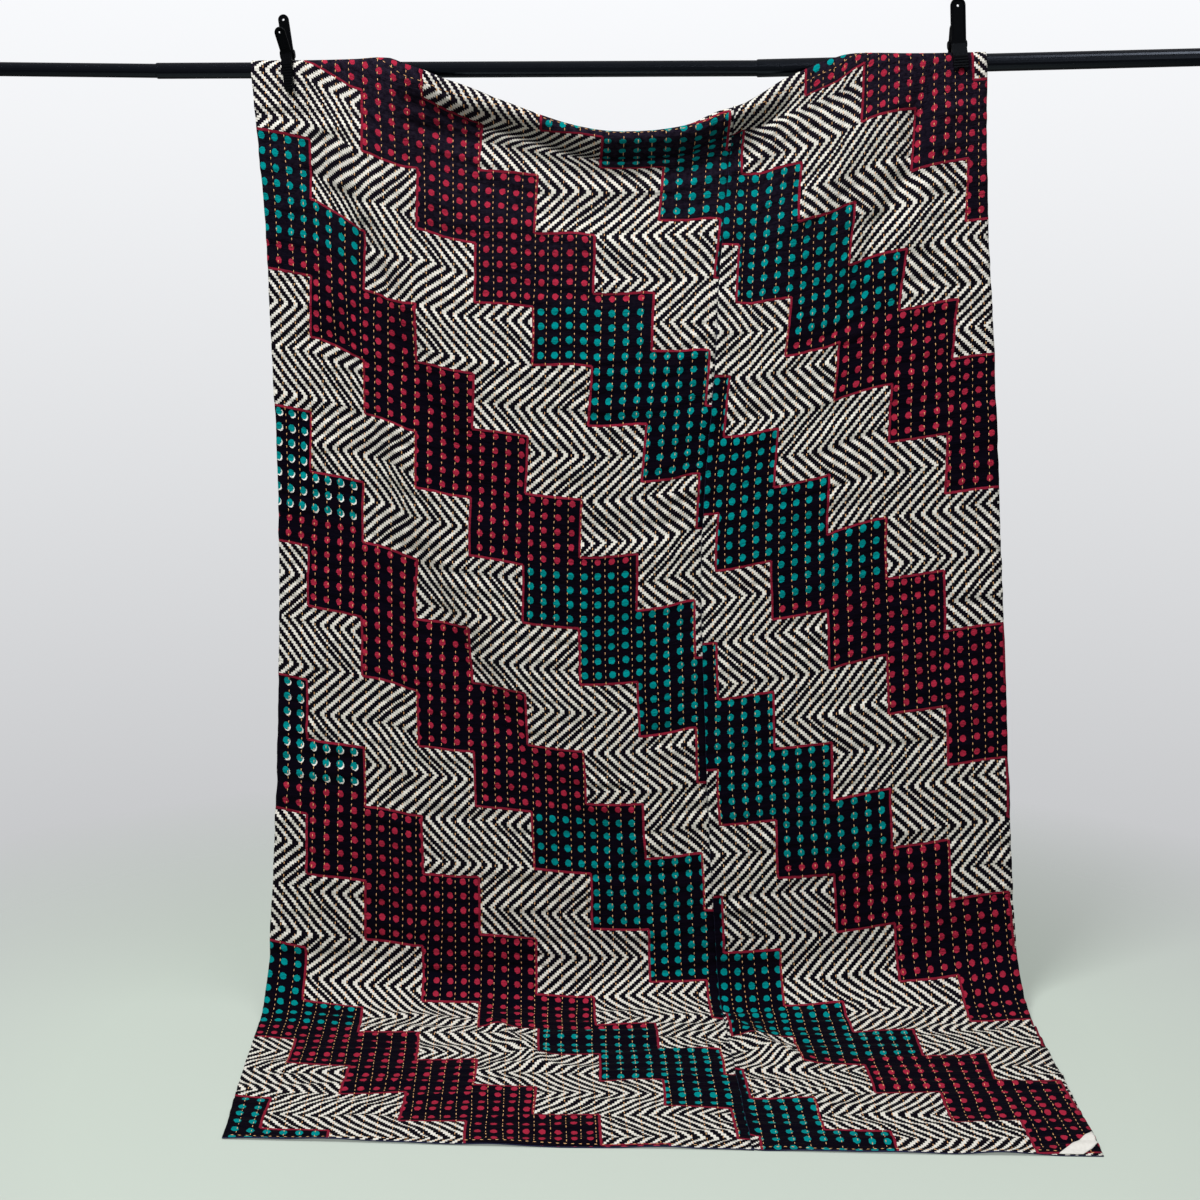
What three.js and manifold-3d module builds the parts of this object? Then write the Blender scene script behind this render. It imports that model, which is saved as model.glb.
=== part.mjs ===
// A kantha quilt of two joined panels, hung by two spring clamps over a telescopic crossbar.
// Its top edge sags between the clamps, and its lower end turns onto the floor and lies there.
// Millimetres. X runs along the crossbar, Y away from the viewer, Z up, with the floor at Z = 0.
// The sheet and the bar are worked out with Y = 0 at the bar, and the whole is then moved so that
// the middle of its footprint is the origin.

import * as THREE from 'three';
import { mergeVertices } from 'three/addons/utils/BufferGeometryUtils.js';
import Module from 'manifold-3d';

const wasm = await Module();
wasm.setup();

// Driving sizes of the quilt
const QUILT_LENGTH = 2060;
const QUILT_WIDTH = 1210;
const QUILT_THICK = 2;
const SEAM_ACROSS = 0.6;
const SEAM_GAP = 0.3;
const CLOTH_CLEARANCE = 0.6;
const FOOTPRINT_MIDDLE = -315.6;

// Driving sizes of the crossbar: three tubes, each slid into the next
const BAR_POINTS = [
  { x: -1000, z: 1530 },
  { x: -716, z: 1527 },
  { x: 254, z: 1531 },
  { x: 1000, z: 1549 },
];
const TUBE_RADII = [11, 12.5, 14];
const SOCKET_DEPTH = 26;
const SLIDE_IN = 24;
const SOCKET_CLEARANCE = 0.9;
const TUBE_ROUNDING = 1.2;
const TUBE_SIDES = 24;

// Driving sizes of the clamps. Each has a long lever and a short one: the left clamp is put on with
// its short lever in front, the right one with its long lever in front. A lever has its handle's
// length, how far the handle leans out and is turned aside on its pivot, how far the jaw runs down
// past the bar's axis, how much it narrows there, and how deep the notch in its end is.
const CLAMPS = [
  {
    name: 'left', x: -502, width: 17, sway: 5, pivotRise: 8.5,
    front: { length: 42, lean: 26, turn: 8, drop: 37, taper: 0.3, notch: 0 },
    back: { length: 66, lean: 4, turn: 3, drop: 8, taper: 0, notch: 0 },
  },
  {
    name: 'right', x: 578, width: 24, sway: 4, pivotRise: 11,
    front: { length: 70, lean: 5, turn: 0, drop: 15, taper: 0.1, notch: 5 },
    back: { length: 40, lean: 6, turn: -8, drop: 16, taper: 0.1, notch: 0 },
  },
];
const HANDLE_THICK = 5;
const HANDLE_BEVEL = 0.8;
const HANDLE_RIM = 2.6;
const HANDLE_POCKET = 1.8;
const HANDLE_HOLE_RADIUS = 2;
const HANDLE_SETBACK = 10.5;
const HANDLE_ROOT = 2;
const JAW_THICK = 6;
const JAW_CLEARANCE = 1;
const JAW_FLARE = 5;
const JAW_ARC_TOP = 56;
const JAW_RIB = 0.8;
const JAW_RIB_PITCH = 4;
const NOTCH_SHARE = 0.45;
const EAR_RADIUS = 6;
const EAR_THICK = 2.2;
const EAR_GAP = 0.3;
const PIN_RADIUS = 1.8;
const PIN_HEAD_RADIUS = 7;
const PIN_HEAD_THICK = 3;
const SPRING_RADIUS = 4.6;
const SPRING_TURNS = 4;

// The bare tape across the corner, by its distances from the corner along the side and the hem
const LABEL = { near: 28, far: 62, inset: 1.5, thick: 0.8, gap: 0.3 };

// How the top is carried, along the crossbar: the turn over the bar, or the free curl of the edge,
// has its centre so far above the bar's axis, a radius beyond the bar's own seat, a place so far
// ahead of it, an angle, and a straight end behind. Between the clamps the edge comes off the bar,
// down in front of it, and sags below it.
const TOP_TURNS = [
  { x: -561, lift: 0, spare: 0.2, ahead: 0, turn: 180, end: 12 },
  { x: -500, lift: 0, spare: 0.3, ahead: 0, turn: 180, end: 12 },
  { x: -445, lift: 0, spare: 0.8, ahead: 0, turn: 178, end: 11 },
  { x: -390, lift: 0, spare: 2.2, ahead: 0, turn: 145, end: 8 },
  { x: -352, lift: -1, spare: 4.8, ahead: 2.5, turn: 88, end: 5 },
  { x: -320, lift: -6, spare: 4.2, ahead: 5, turn: 38, end: 4 },
  { x: -276, lift: -17, spare: 2.6, ahead: 6, turn: 24, end: 4 },
  { x: -247, lift: -28, spare: -1.0, ahead: 7, turn: 26, end: 4 },
  { x: -201, lift: -45, spare: -4.0, ahead: 7, turn: 60, end: 4 },
  { x: -153, lift: -62, spare: -5.0, ahead: 8, turn: 100, end: 4 },
  { x: -93, lift: -84, spare: -5.5, ahead: 10, turn: 125, end: 5 },
  { x: -40, lift: -100, spare: -5.5, ahead: 12, turn: 130, end: 6 },
  { x: 10, lift: -109, spare: -5.5, ahead: 14, turn: 130, end: 6 },
  { x: 56, lift: -110, spare: -5.5, ahead: 14, turn: 130, end: 6 },
  { x: 100, lift: -107, spare: -5.5, ahead: 13, turn: 125, end: 6 },
  { x: 145, lift: -99, spare: -5.0, ahead: 11, turn: 115, end: 5 },
  { x: 190, lift: -80, spare: -4.5, ahead: 9, turn: 105, end: 4 },
  { x: 225, lift: -71, spare: -4.0, ahead: 8, turn: 85, end: 4 },
  { x: 265, lift: -51, spare: -4.0, ahead: 7, turn: 55, end: 4 },
  { x: 301, lift: -29, spare: -1.0, ahead: 7, turn: 26, end: 4 },
  { x: 330, lift: -18, spare: 2.0, ahead: 6, turn: 24, end: 4 },
  { x: 355, lift: -9, spare: 2.8, ahead: 5, turn: 30, end: 4 },
  { x: 381, lift: -7, spare: 4.2, ahead: 5, turn: 54, end: 4 },
  { x: 406, lift: -2, spare: 4.2, ahead: 2, turn: 92, end: 4 },
  { x: 444, lift: 0, spare: 2.8, ahead: 0, turn: 145, end: 4 },
  { x: 494, lift: 0, spare: 1.0, ahead: 0, turn: 178, end: 6 },
  { x: 535, lift: 0, spare: 0.2, ahead: 0, turn: 180, end: 8 },
  { x: 620, lift: 0, spare: 0.0, ahead: 0, turn: 180, end: 8 },
];

// Where the sheet meets the floor: the foot of the hanging line, the bend's radius, and the hem
const FLOOR_LINE = [
  { across: 0.0, foot: -118, bend: 105, hem: -606 },
  { across: 0.18, foot: -104, bend: 78, hem: -618 },
  { across: 0.34, foot: -112, bend: 66, hem: -629 },
  { across: 0.5, foot: -102, bend: 80, hem: -634 },
  { across: 0.63, foot: -114, bend: 72, hem: -641 },
  { across: 0.8, foot: -104, bend: 92, hem: -650 },
  { across: 1.0, foot: -112, bend: 125, hem: -656 },
];

// The two side edges and the seam between the panels, by the length of cloth from the top edge.
// The cloth is gathered towards the right clamp, so the seam wanders.
const SIDES = [
  { down: 0, left: -561, seam: 219, right: 620 },
  { down: 60, left: -561, seam: 217, right: 621 },
  { down: 280, left: -543, seam: 198, right: 627 },
  { down: 440, left: -537, seam: 190, right: 637 },
  { down: 750, left: -527, seam: 170, right: 655 },
  { down: 1080, left: -531, seam: 178, right: 673 },
  { down: 1330, left: -541, seam: 190, right: 686 },
  { down: 1560, left: -553, seam: 203, right: 700 },
  { down: 1750, left: -545, seam: 206, right: 694 },
  { down: 2060, left: -519, seam: 209, right: 677 },
];

// Main folds: straight runs in the flat cloth, from one place to another, with a width and a rise
const FOLDS = [
  { across: 0.05, down: 70, toAcross: 0.065, toDown: 220, width: 24, rise: -10 },
  { across: 0.065, down: 220, toAcross: 0.125, toDown: 305, width: 24, rise: -14 },
  { across: 0.125, down: 305, toAcross: 0.19, toDown: 500, width: 28, rise: -18 },
  { across: 0.19, down: 500, toAcross: 0.29, toDown: 680, width: 36, rise: -15 },
  { across: 0.1, down: 130, toAcross: 0.24, toDown: 480, width: 40, rise: 9 },
  { across: 0.09, down: 480, toAcross: 0.135, toDown: 650, width: 26, rise: -12 },
  { across: 0.135, down: 650, toAcross: 0.185, toDown: 800, width: 26, rise: -17 },
  { across: 0.185, down: 800, toAcross: 0.315, toDown: 1070, width: 32, rise: -20 },
  { across: 0.315, down: 1070, toAcross: 0.43, toDown: 1240, width: 42, rise: -12 },
  { across: 0.17, down: 620, toAcross: 0.33, toDown: 960, width: 45, rise: 8 },
  { across: 0.2, down: 52, toAcross: 0.55, toDown: 54, width: 24, rise: -40 },
  { across: 0.55, down: 54, toAcross: 0.68, toDown: 40, width: 22, rise: -32 },
  { across: 0.22, down: 85, toAcross: 0.62, toDown: 85, width: 45, rise: -39 },
  { across: 0.24, down: 140, toAcross: 0.62, toDown: 140, width: 75, rise: -30 },
  { across: 0.26, down: 230, toAcross: 0.62, toDown: 230, width: 110, rise: -16 },
  { across: 0.92, down: 60, toAcross: 0.893, toDown: 110, width: 16, rise: -8 },
  { across: 0.893, down: 110, toAcross: 0.88, toDown: 230, width: 20, rise: -10 },
  { across: 0.88, down: 230, toAcross: 0.838, toDown: 300, width: 22, rise: -11 },
  { across: 0.838, down: 300, toAcross: 0.8, toDown: 400, width: 26, rise: -8 },
  { across: 0.935, down: 120, toAcross: 0.89, toDown: 330, width: 30, rise: 7 },
  { across: 0.86, down: 110, toAcross: 0.7, toDown: 250, width: 34, rise: 9 },
  { across: 0.61, down: 350, toAcross: 0.6, toDown: 1250, width: 40, rise: -7 },
  { across: 0.42, down: 700, toAcross: 0.585, toDown: 695, width: 16, rise: -6 },
  { across: 0.44, down: 1308, toAcross: 0.585, toDown: 1308, width: 14, rise: -5 },
  { across: 0.78, down: 700, toAcross: 0.8, toDown: 1500, width: 80, rise: 8 },
  { across: 0.5, down: 1000, toAcross: 0.52, toDown: 1560, width: 70, rise: 7 },
  { across: 0.06, down: 1000, toAcross: 0.05, toDown: 1600, width: 60, rise: 7 },
  { across: 0.3, down: 1640, toAcross: 0.36, toDown: 1780, width: 24, rise: 8 },
  { across: 0.61, down: 1640, toAcross: 0.67, toDown: 1770, width: 28, rise: 10 },
  { across: 0.14, down: 1690, toAcross: 0.5, toDown: 1670, width: 24, rise: 5 },
];

// A fold starts softly under the bar, and soon where the edge hangs free of it
const FOLD_FADE_ON_BAR = 100;
const FOLD_FADE_FREE = 30;
const FREE_SAG = 60;

// Steps of the solid sheet along each part of its run, and columns of each panel
const STEPS = { end: 2, turn: 8, hang: 34, bend: 5, floor: 8 };
const HANG_EASE = 1.5;
const LEFT_COLUMNS = 30;
const RIGHT_COLUMNS = 20;

const degrees = THREE.MathUtils.degToRad;

// A smooth value from a table: a cubic through the rows, by the named key and column
function fromTable(table, key, at, column) {
  let row = 0;
  while (row < table.length - 2 && at > table[row + 1][key]) row += 1;
  const share = THREE.MathUtils.clamp((at - table[row][key]) / (table[row + 1][key] - table[row][key]), 0, 1);
  const slope = (i) => {
    const before = table[Math.max(i - 1, 0)];
    const after = table[Math.min(i + 1, table.length - 1)];
    return (after[column] - before[column]) / (after[key] - before[key]);
  };
  const span = table[row + 1][key] - table[row][key];
  const start = table[row][column];
  const finish = table[row + 1][column];
  const bendIn = slope(row) * span - (finish - start);
  const bendOut = (finish - start) - slope(row + 1) * span;
  const straight = start + (finish - start) * share;
  return straight + share * (1 - share) * (bendIn * (1 - share) + bendOut * share);
}

// The crossbar's axis height and tube radius over a place on the floor
function barHeight(x) {
  let row = 0;
  while (row < BAR_POINTS.length - 2 && x > BAR_POINTS[row + 1].x) row += 1;
  const a = BAR_POINTS[row];
  const b = BAR_POINTS[row + 1];
  return THREE.MathUtils.mapLinear(x, a.x, b.x, a.z, b.z);
}

function barRadius(x) {
  return x < BAR_POINTS[2].x ? TUBE_RADII[1] : TUBE_RADII[2];
}

// The radius of the sheet's middle where it lies on the bar
function seatRadius(x) {
  return barRadius(x) + CLOTH_CLEARANCE + QUILT_THICK / 2;
}

// Where a share of the flat width lies along the crossbar, in its own panel
function sheetX(across, down) {
  const seam = fromTable(SIDES, 'down', down, 'seam');
  if (across < SEAM_ACROSS) {
    return THREE.MathUtils.mapLinear(across, 0, SEAM_ACROSS, fromTable(SIDES, 'down', down, 'left'), seam);
  }
  return THREE.MathUtils.mapLinear(across, SEAM_ACROSS, 1, seam, fromTable(SIDES, 'down', down, 'right'));
}

// One section of the sheet's middle, from the edge behind the bar to the hem on the floor.
// Each point has its place, the way its face looks, the run of cloth so far and how free it is to fold.
function sheetSection(across) {
  const x = sheetX(across, 0);
  const top = (column) => fromTable(TOP_TURNS, 'x', x, column);
  const ground = (column) => fromTable(FLOOR_LINE, 'across', across, column);
  const radius = seatRadius(x) + top('spare');
  const turn = degrees(top('turn'));
  const front = -Math.max(seatRadius(x), radius) - top('ahead');
  const centre = { y: front + radius, z: barHeight(x) + top('lift') };
  const foot = { y: ground('foot'), z: QUILT_THICK / 2 };
  const lean = Math.atan2(front - foot.y, centre.z - foot.z);
  const bend = ground('bend');
  const bendTurn = Math.PI / 2 - lean;
  const bendReach = bend * Math.tan(bendTurn / 2);
  const hangLength = Math.hypot(front - foot.y, centre.z - foot.z) - bendReach;
  const floorStart = foot.y - bendReach;
  const sagShare = THREE.MathUtils.clamp(-top('lift') / FREE_SAG, 0, 1);
  const fade = THREE.MathUtils.lerp(FOLD_FADE_ON_BAR, FOLD_FADE_FREE, sagShare);
  const points = [];
  let run = 0;

  function add(y, z, facing, freedom) {
    const last = points.at(-1);
    if (last) run += Math.hypot(y - last.y, z - last.z);
    points.push({ y, z, outY: -Math.cos(facing), outZ: Math.sin(facing), run, freedom });
  }

  const end = top('end');
  for (let i = 0; i < STEPS.end; i += 1) {
    const back = end * (1 - i / STEPS.end);
    const y = centre.y - radius * Math.cos(turn) + back * Math.sin(turn);
    const z = centre.z + radius * Math.sin(turn) + back * Math.cos(turn);
    add(y, z, turn, 0);
  }
  for (let i = 0; i < STEPS.turn; i += 1) {
    const facing = turn * (1 - i / STEPS.turn);
    add(centre.y - radius * Math.cos(facing), centre.z + radius * Math.sin(facing), facing, 0);
  }
  for (let i = 0; i < STEPS.hang; i += 1) {
    const along = hangLength * (i / STEPS.hang) ** HANG_EASE;
    const freedom = THREE.MathUtils.smoothstep(along, 0, fade);
    add(front - along * Math.sin(lean), centre.z - along * Math.cos(lean), lean, freedom);
  }
  for (let i = 0; i < STEPS.bend; i += 1) {
    const facing = lean + bendTurn * i / STEPS.bend;
    add(floorStart + bend * Math.cos(facing), foot.z + bend * (1 - Math.sin(facing)), facing, 1);
  }
  for (let i = 0; i <= STEPS.floor; i += 1) {
    add(THREE.MathUtils.lerp(floorStart, ground('hem'), i / STEPS.floor), foot.z, Math.PI / 2, 1);
  }
  return points;
}

// How far the folds move the sheet at a place in the flat cloth: the deepest and the highest of them
function foldRise(across, down) {
  let deepest = 0;
  let highest = 0;
  for (const fold of FOLDS) {
    const start = new THREE.Vector2(fold.across * QUILT_WIDTH, fold.down);
    const run = new THREE.Vector2(fold.toAcross * QUILT_WIDTH, fold.toDown).sub(start);
    const place = new THREE.Vector2(across * QUILT_WIDTH, down).sub(start);
    const along = THREE.MathUtils.clamp(place.dot(run) / run.lengthSq(), 0, 1);
    const off = place.addScaledVector(run, -along).length();
    const rise = fold.rise * Math.exp(-((off / fold.width) ** 2));
    deepest = Math.min(deepest, rise);
    highest = Math.max(highest, rise);
  }
  return deepest + highest;
}

// One column of the sheet's middle with its folds: on the floor a fold can only rise
function sheetColumn(across) {
  const section = sheetSection(across);
  const whole = section.at(-1).run;
  return section.map((point) => {
    const down = QUILT_LENGTH * point.run / whole;
    const rise = point.freedom * foldRise(across, down);
    const kept = Math.max(rise, -(point.z - QUILT_THICK / 2) / 4);
    return new THREE.Vector3(sheetX(across, down), point.y + point.outY * kept, point.z + point.outZ * kept);
  });
}

// A closed panel of the sheet between two shares of the width, with its thickness both ways
function sheetPanel(fromAcross, toAcross, columns) {
  const nudge = 1 / QUILT_WIDTH;
  const front = [];
  const back = [];
  for (let c = 0; c <= columns; c += 1) {
    const across = THREE.MathUtils.lerp(fromAcross, toAcross, c / columns);
    const middle = sheetColumn(across);
    const before = sheetColumn(across - nudge);
    const after = sheetColumn(across + nudge);
    middle.forEach((point, r) => {
      const sideways = after[r].clone().sub(before[r]);
      const downward = middle[Math.min(r + 1, middle.length - 1)].clone().sub(middle[Math.max(r - 1, 0)]);
      const facing = downward.cross(sideways).normalize();
      front.push(point.clone().addScaledVector(facing, QUILT_THICK / 2));
      back.push(point.clone().addScaledVector(facing, -QUILT_THICK / 2));
    });
  }
  const rows = front.length / (columns + 1);
  const place = (side, c, r) => side * front.length + c * rows + r;
  const faces = [];
  const quad = (a, b, c, d) => faces.push(a, b, c, a, c, d);
  for (let c = 0; c < columns; c += 1) {
    for (let r = 0; r < rows - 1; r += 1) {
      quad(place(0, c, r), place(0, c, r + 1), place(0, c + 1, r + 1), place(0, c + 1, r));
      quad(place(1, c, r), place(1, c + 1, r), place(1, c + 1, r + 1), place(1, c, r + 1));
    }
    quad(place(0, c, 0), place(0, c + 1, 0), place(1, c + 1, 0), place(1, c, 0));
    quad(place(0, c, rows - 1), place(1, c, rows - 1), place(1, c + 1, rows - 1), place(0, c + 1, rows - 1));
  }
  for (let r = 0; r < rows - 1; r += 1) {
    quad(place(0, 0, r), place(1, 0, r), place(1, 0, r + 1), place(0, 0, r + 1));
    quad(place(0, columns, r), place(0, columns, r + 1), place(1, columns, r + 1), place(1, columns, r));
  }
  const geometry = new THREE.BufferGeometry();
  geometry.setFromPoints([...front, ...back]);
  geometry.setIndex(faces);
  return geometry;
}

// The tape lies flat across the right corner of the hem, a little inside both edges
function cornerLabel() {
  const corner = { x: sheetX(1, QUILT_LENGTH), y: fromTable(FLOOR_LINE, 'across', 1, 'hem') };
  const sidePlace = (distance) => new THREE.Vector2(
    sheetX(1, QUILT_LENGTH - distance) - LABEL.inset, corner.y + distance);
  const hemPlace = (distance) => new THREE.Vector2(corner.x - distance, corner.y + LABEL.inset);
  const outline = new THREE.Shape([
    sidePlace(LABEL.near), sidePlace(LABEL.far), hemPlace(LABEL.far), hemPlace(LABEL.near),
  ]);
  const geometry = new THREE.ExtrudeGeometry(outline, { depth: LABEL.thick, bevelEnabled: false });
  geometry.translate(0, 0, QUILT_THICK + LABEL.gap);
  return geometry;
}

// A tube of the crossbar, turned about its own axis, with a socket at its left end for the one before
function barTube(index) {
  const start = BAR_POINTS[index];
  const finish = BAR_POINTS[index + 1];
  const radius = TUBE_RADII[index];
  const span = Math.hypot(finish.x - start.x, finish.z - start.z);
  const length = index < TUBE_RADII.length - 1 ? span + SLIDE_IN : span;
  const profile = [];
  if (index > 0) {
    const bore = TUBE_RADII[index - 1] + SOCKET_CLEARANCE;
    profile.push(new THREE.Vector2(0, SOCKET_DEPTH), new THREE.Vector2(bore, SOCKET_DEPTH));
    profile.push(new THREE.Vector2(bore, 0));
  } else {
    profile.push(new THREE.Vector2(0, 0));
  }
  const lip = radius - TUBE_ROUNDING * (index > 0 ? 0.4 : 1);
  profile.push(new THREE.Vector2(lip, 0), new THREE.Vector2(radius, TUBE_ROUNDING));
  profile.push(new THREE.Vector2(radius, length - TUBE_ROUNDING));
  profile.push(new THREE.Vector2(radius - TUBE_ROUNDING, length), new THREE.Vector2(0, length));
  const geometry = new THREE.LatheGeometry(profile, TUBE_SIDES);
  geometry.rotateZ(-Math.PI / 2);
  geometry.rotateY(-Math.atan2(finish.z - start.z, finish.x - start.x));
  geometry.translate(start.x, 0, start.z);
  return geometry;
}

// Joining and cutting of closed shapes
function toSolid(geometry) {
  const bare = geometry.clone();
  bare.deleteAttribute('normal');
  bare.deleteAttribute('uv');
  const merged = mergeVertices(bare, 1e-4);
  return new wasm.Manifold(new wasm.Mesh({
    numProp: 3,
    vertProperties: new Float32Array(merged.attributes.position.array),
    triVerts: new Uint32Array(merged.index.array),
  }));
}

function toGeometry(solid) {
  const mesh = solid.getMesh();
  const geometry = new THREE.BufferGeometry();
  geometry.setAttribute('position', new THREE.BufferAttribute(mesh.vertProperties, 3));
  geometry.setIndex(new THREE.BufferAttribute(mesh.triVerts, 1));
  return geometry;
}

// A section drawn as outward distance and height, made solid across the clamp's width.
// side is -1 for the lever in front of the bar and +1 for the one behind it.
function acrossClamp(points, width, side) {
  const outline = new THREE.Shape(points.map((p) => new THREE.Vector2(p.out * side, p.z)));
  const geometry = new THREE.ExtrudeGeometry(outline, { depth: width, bevelEnabled: false, curveSegments: 1 });
  geometry.rotateX(Math.PI / 2);
  geometry.rotateZ(Math.PI / 2);
  geometry.translate(-width / 2, 0, 0);
  return geometry;
}

function rodAcross(radius, length, x, z, sides) {
  const geometry = new THREE.CylinderGeometry(radius, radius, length, sides);
  geometry.rotateZ(Math.PI / 2);
  geometry.translate(x, 0, z);
  return geometry;
}

// A handle's outline from a height up to its round end, inside its edge by a margin
function handleOutline(width, length, from, margin) {
  const half = width / 2 - margin;
  const outline = new THREE.Shape();
  outline.moveTo(-half, from);
  outline.lineTo(half, from);
  outline.lineTo(half, length - width / 2);
  outline.absarc(0, length - width / 2, half, 0, Math.PI, false);
  return outline;
}

// The handle: a plate with a raised rim, a round end and a hole, leaning out from beside the pivot
function handlePlate(width, pivotHeight, lever, side) {
  const plate = new THREE.ExtrudeGeometry(handleOutline(width, lever.length, -HANDLE_ROOT, 0), {
    depth: HANDLE_THICK - 2 * HANDLE_BEVEL, bevelThickness: HANDLE_BEVEL, bevelSize: HANDLE_BEVEL,
    bevelOffset: -HANDLE_BEVEL, bevelSegments: 1, curveSegments: 8,
  });
  plate.translate(0, 0, HANDLE_BEVEL - HANDLE_THICK / 2);
  const pocket = new THREE.ExtrudeGeometry(handleOutline(width, lever.length, EAR_RADIUS, HANDLE_RIM), {
    depth: HANDLE_POCKET * 2, bevelEnabled: false, curveSegments: 8,
  });
  pocket.translate(0, 0, -HANDLE_POCKET - side * HANDLE_THICK / 2);
  const hole = new THREE.CylinderGeometry(HANDLE_HOLE_RADIUS, HANDLE_HOLE_RADIUS, HANDLE_THICK * 2, 12);
  hole.rotateX(Math.PI / 2);
  hole.translate(0, lever.length - width / 2, 0);
  const geometry = toGeometry(toSolid(plate).subtract(toSolid(pocket)).subtract(toSolid(hole)));
  geometry.rotateX(Math.PI / 2);
  geometry.rotateX(-side * degrees(lever.lean));
  geometry.rotateY(-degrees(lever.turn));
  geometry.translate(0, side * HANDLE_SETBACK, pivotHeight);
  return geometry;
}

// The jaw: it follows the cloth over the bar, then runs down beside it with ribs on its outside
function jawSection(inner, pivotHeight, drop) {
  const outer = inner + JAW_THICK;
  const arcSteps = 6;
  const points = [];
  for (let i = 0; i <= arcSteps; i += 1) {
    const angle = degrees(JAW_ARC_TOP * (1 - i / arcSteps));
    points.push({ out: inner * Math.cos(angle), z: inner * Math.sin(angle) });
  }
  const flare = Math.tan(degrees(JAW_FLARE)) * drop;
  points.push({ out: inner + flare, z: -drop });
  points.push({ out: outer + flare - JAW_RIB * 2, z: -drop });
  const ribTop = outer * Math.sin(degrees(JAW_ARC_TOP / 2));
  const ribs = Math.floor((ribTop + drop) / JAW_RIB_PITCH) - 1;
  const ribPitch = (ribTop + drop) / (ribs + 1);
  for (let i = 1; i <= ribs * 2; i += 1) {
    const z = -drop + ribPitch * (i + 1) / 2;
    const reach = z > 0 ? Math.sqrt(outer ** 2 - z ** 2) : outer - Math.tan(degrees(JAW_FLARE)) * z;
    points.push({ out: reach - (i % 2 === 0 ? JAW_RIB : 0), z });
  }
  points.push({ out: HANDLE_SETBACK + HANDLE_THICK / 2, z: pivotHeight });
  points.push({ out: HANDLE_SETBACK - HANDLE_THICK / 2, z: pivotHeight });
  return points;
}

// A jaw across the clamp, narrower toward its lower end, with a notch there if it has one
function jawSolid(clamp, inner, pivotHeight, lever, side) {
  const geometry = acrossClamp(jawSection(inner, pivotHeight, lever.drop), clamp.width, side);
  const place = geometry.attributes.position;
  for (let i = 0; i < place.count; i += 1) {
    const below = Math.max(-place.getZ(i) / lever.drop, 0);
    place.setX(i, place.getX(i) * (1 - lever.taper * below));
  }
  const solid = toSolid(geometry);
  if (lever.notch === 0) return solid;
  const notch = new THREE.BoxGeometry(clamp.width * NOTCH_SHARE, inner * 4, lever.notch * 2);
  notch.translate(0, 0, -lever.drop);
  return solid.subtract(toSolid(notch));
}

// One lever: handle and jaw in one piece, with two ears on the pivot pin
function clampLever(clamp, inner, pivotHeight, side) {
  const isFront = side < 0;
  const lever = isFront ? clamp.front : clamp.back;
  const earOutside = isFront ? clamp.width / 2 : clamp.width / 2 - EAR_THICK - EAR_GAP;
  const earMiddle = earOutside - EAR_THICK / 2;
  let solid = toSolid(handlePlate(clamp.width, pivotHeight, lever, side));
  solid = solid.add(jawSolid(clamp, inner, pivotHeight, lever, side));
  for (const x of [-earMiddle, earMiddle]) {
    const web = new THREE.BoxGeometry(EAR_THICK, HANDLE_SETBACK, EAR_RADIUS * 1.4);
    web.translate(x, side * HANDLE_SETBACK / 2, pivotHeight);
    solid = solid.add(toSolid(rodAcross(EAR_RADIUS, EAR_THICK, x, pivotHeight, 20))).add(toSolid(web));
  }
  const bore = rodAcross(PIN_RADIUS + EAR_GAP, clamp.width * 2, 0, pivotHeight, 16);
  return toGeometry(solid.subtract(toSolid(bore)));
}

// The pivot pin with a round head at each end
function clampPin(clamp, pivotHeight) {
  const half = clamp.width / 2 + EAR_GAP;
  const reach = half + PIN_HEAD_THICK;
  const profile = [
    new THREE.Vector2(0, -reach), new THREE.Vector2(PIN_HEAD_RADIUS - 1, -reach),
    new THREE.Vector2(PIN_HEAD_RADIUS, 1 - reach), new THREE.Vector2(PIN_HEAD_RADIUS, -half),
    new THREE.Vector2(PIN_RADIUS, -half), new THREE.Vector2(PIN_RADIUS, half),
    new THREE.Vector2(PIN_HEAD_RADIUS, half), new THREE.Vector2(PIN_HEAD_RADIUS, reach - 1),
    new THREE.Vector2(PIN_HEAD_RADIUS - 1, reach), new THREE.Vector2(0, reach),
  ];
  const geometry = new THREE.LatheGeometry(profile, 20);
  geometry.rotateZ(-Math.PI / 2);
  geometry.translate(0, 0, pivotHeight);
  return geometry;
}

// The coil of the spring on the pin, its turns as rounded rings run together
function clampSpring(clamp, pivotHeight) {
  const half = clamp.width / 2 - (EAR_THICK + EAR_GAP) * 2;
  const inside = PIN_RADIUS + EAR_GAP;
  const profile = [new THREE.Vector2(inside, -half)];
  for (let i = 0; i <= SPRING_TURNS * 2; i += 1) {
    const reach = i % 2 === 0 ? SPRING_RADIUS - 0.7 : SPRING_RADIUS;
    profile.push(new THREE.Vector2(reach, THREE.MathUtils.lerp(-half, half, i / (SPRING_TURNS * 2))));
  }
  profile.push(new THREE.Vector2(inside, half), new THREE.Vector2(inside, -half));
  const geometry = new THREE.LatheGeometry(profile, 16);
  geometry.rotateZ(-Math.PI / 2);
  geometry.translate(0, 0, pivotHeight);
  return geometry;
}

const quiltCloth = new THREE.MeshStandardMaterial({ color: 0x3a2a35, roughness: 0.95, metalness: 0 });
const tapeCloth = new THREE.MeshStandardMaterial({ color: 0xe6e2d8, roughness: 0.9, metalness: 0 });
const blackPaint = new THREE.MeshStandardMaterial({ color: 0x141517, roughness: 0.4, metalness: 0.3 });
const blackNylon = new THREE.MeshStandardMaterial({ color: 0x17181a, roughness: 0.5, metalness: 0 });
const springSteel = new THREE.MeshStandardMaterial({ color: 0x8b8d90, roughness: 0.35, metalness: 1 });

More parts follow.
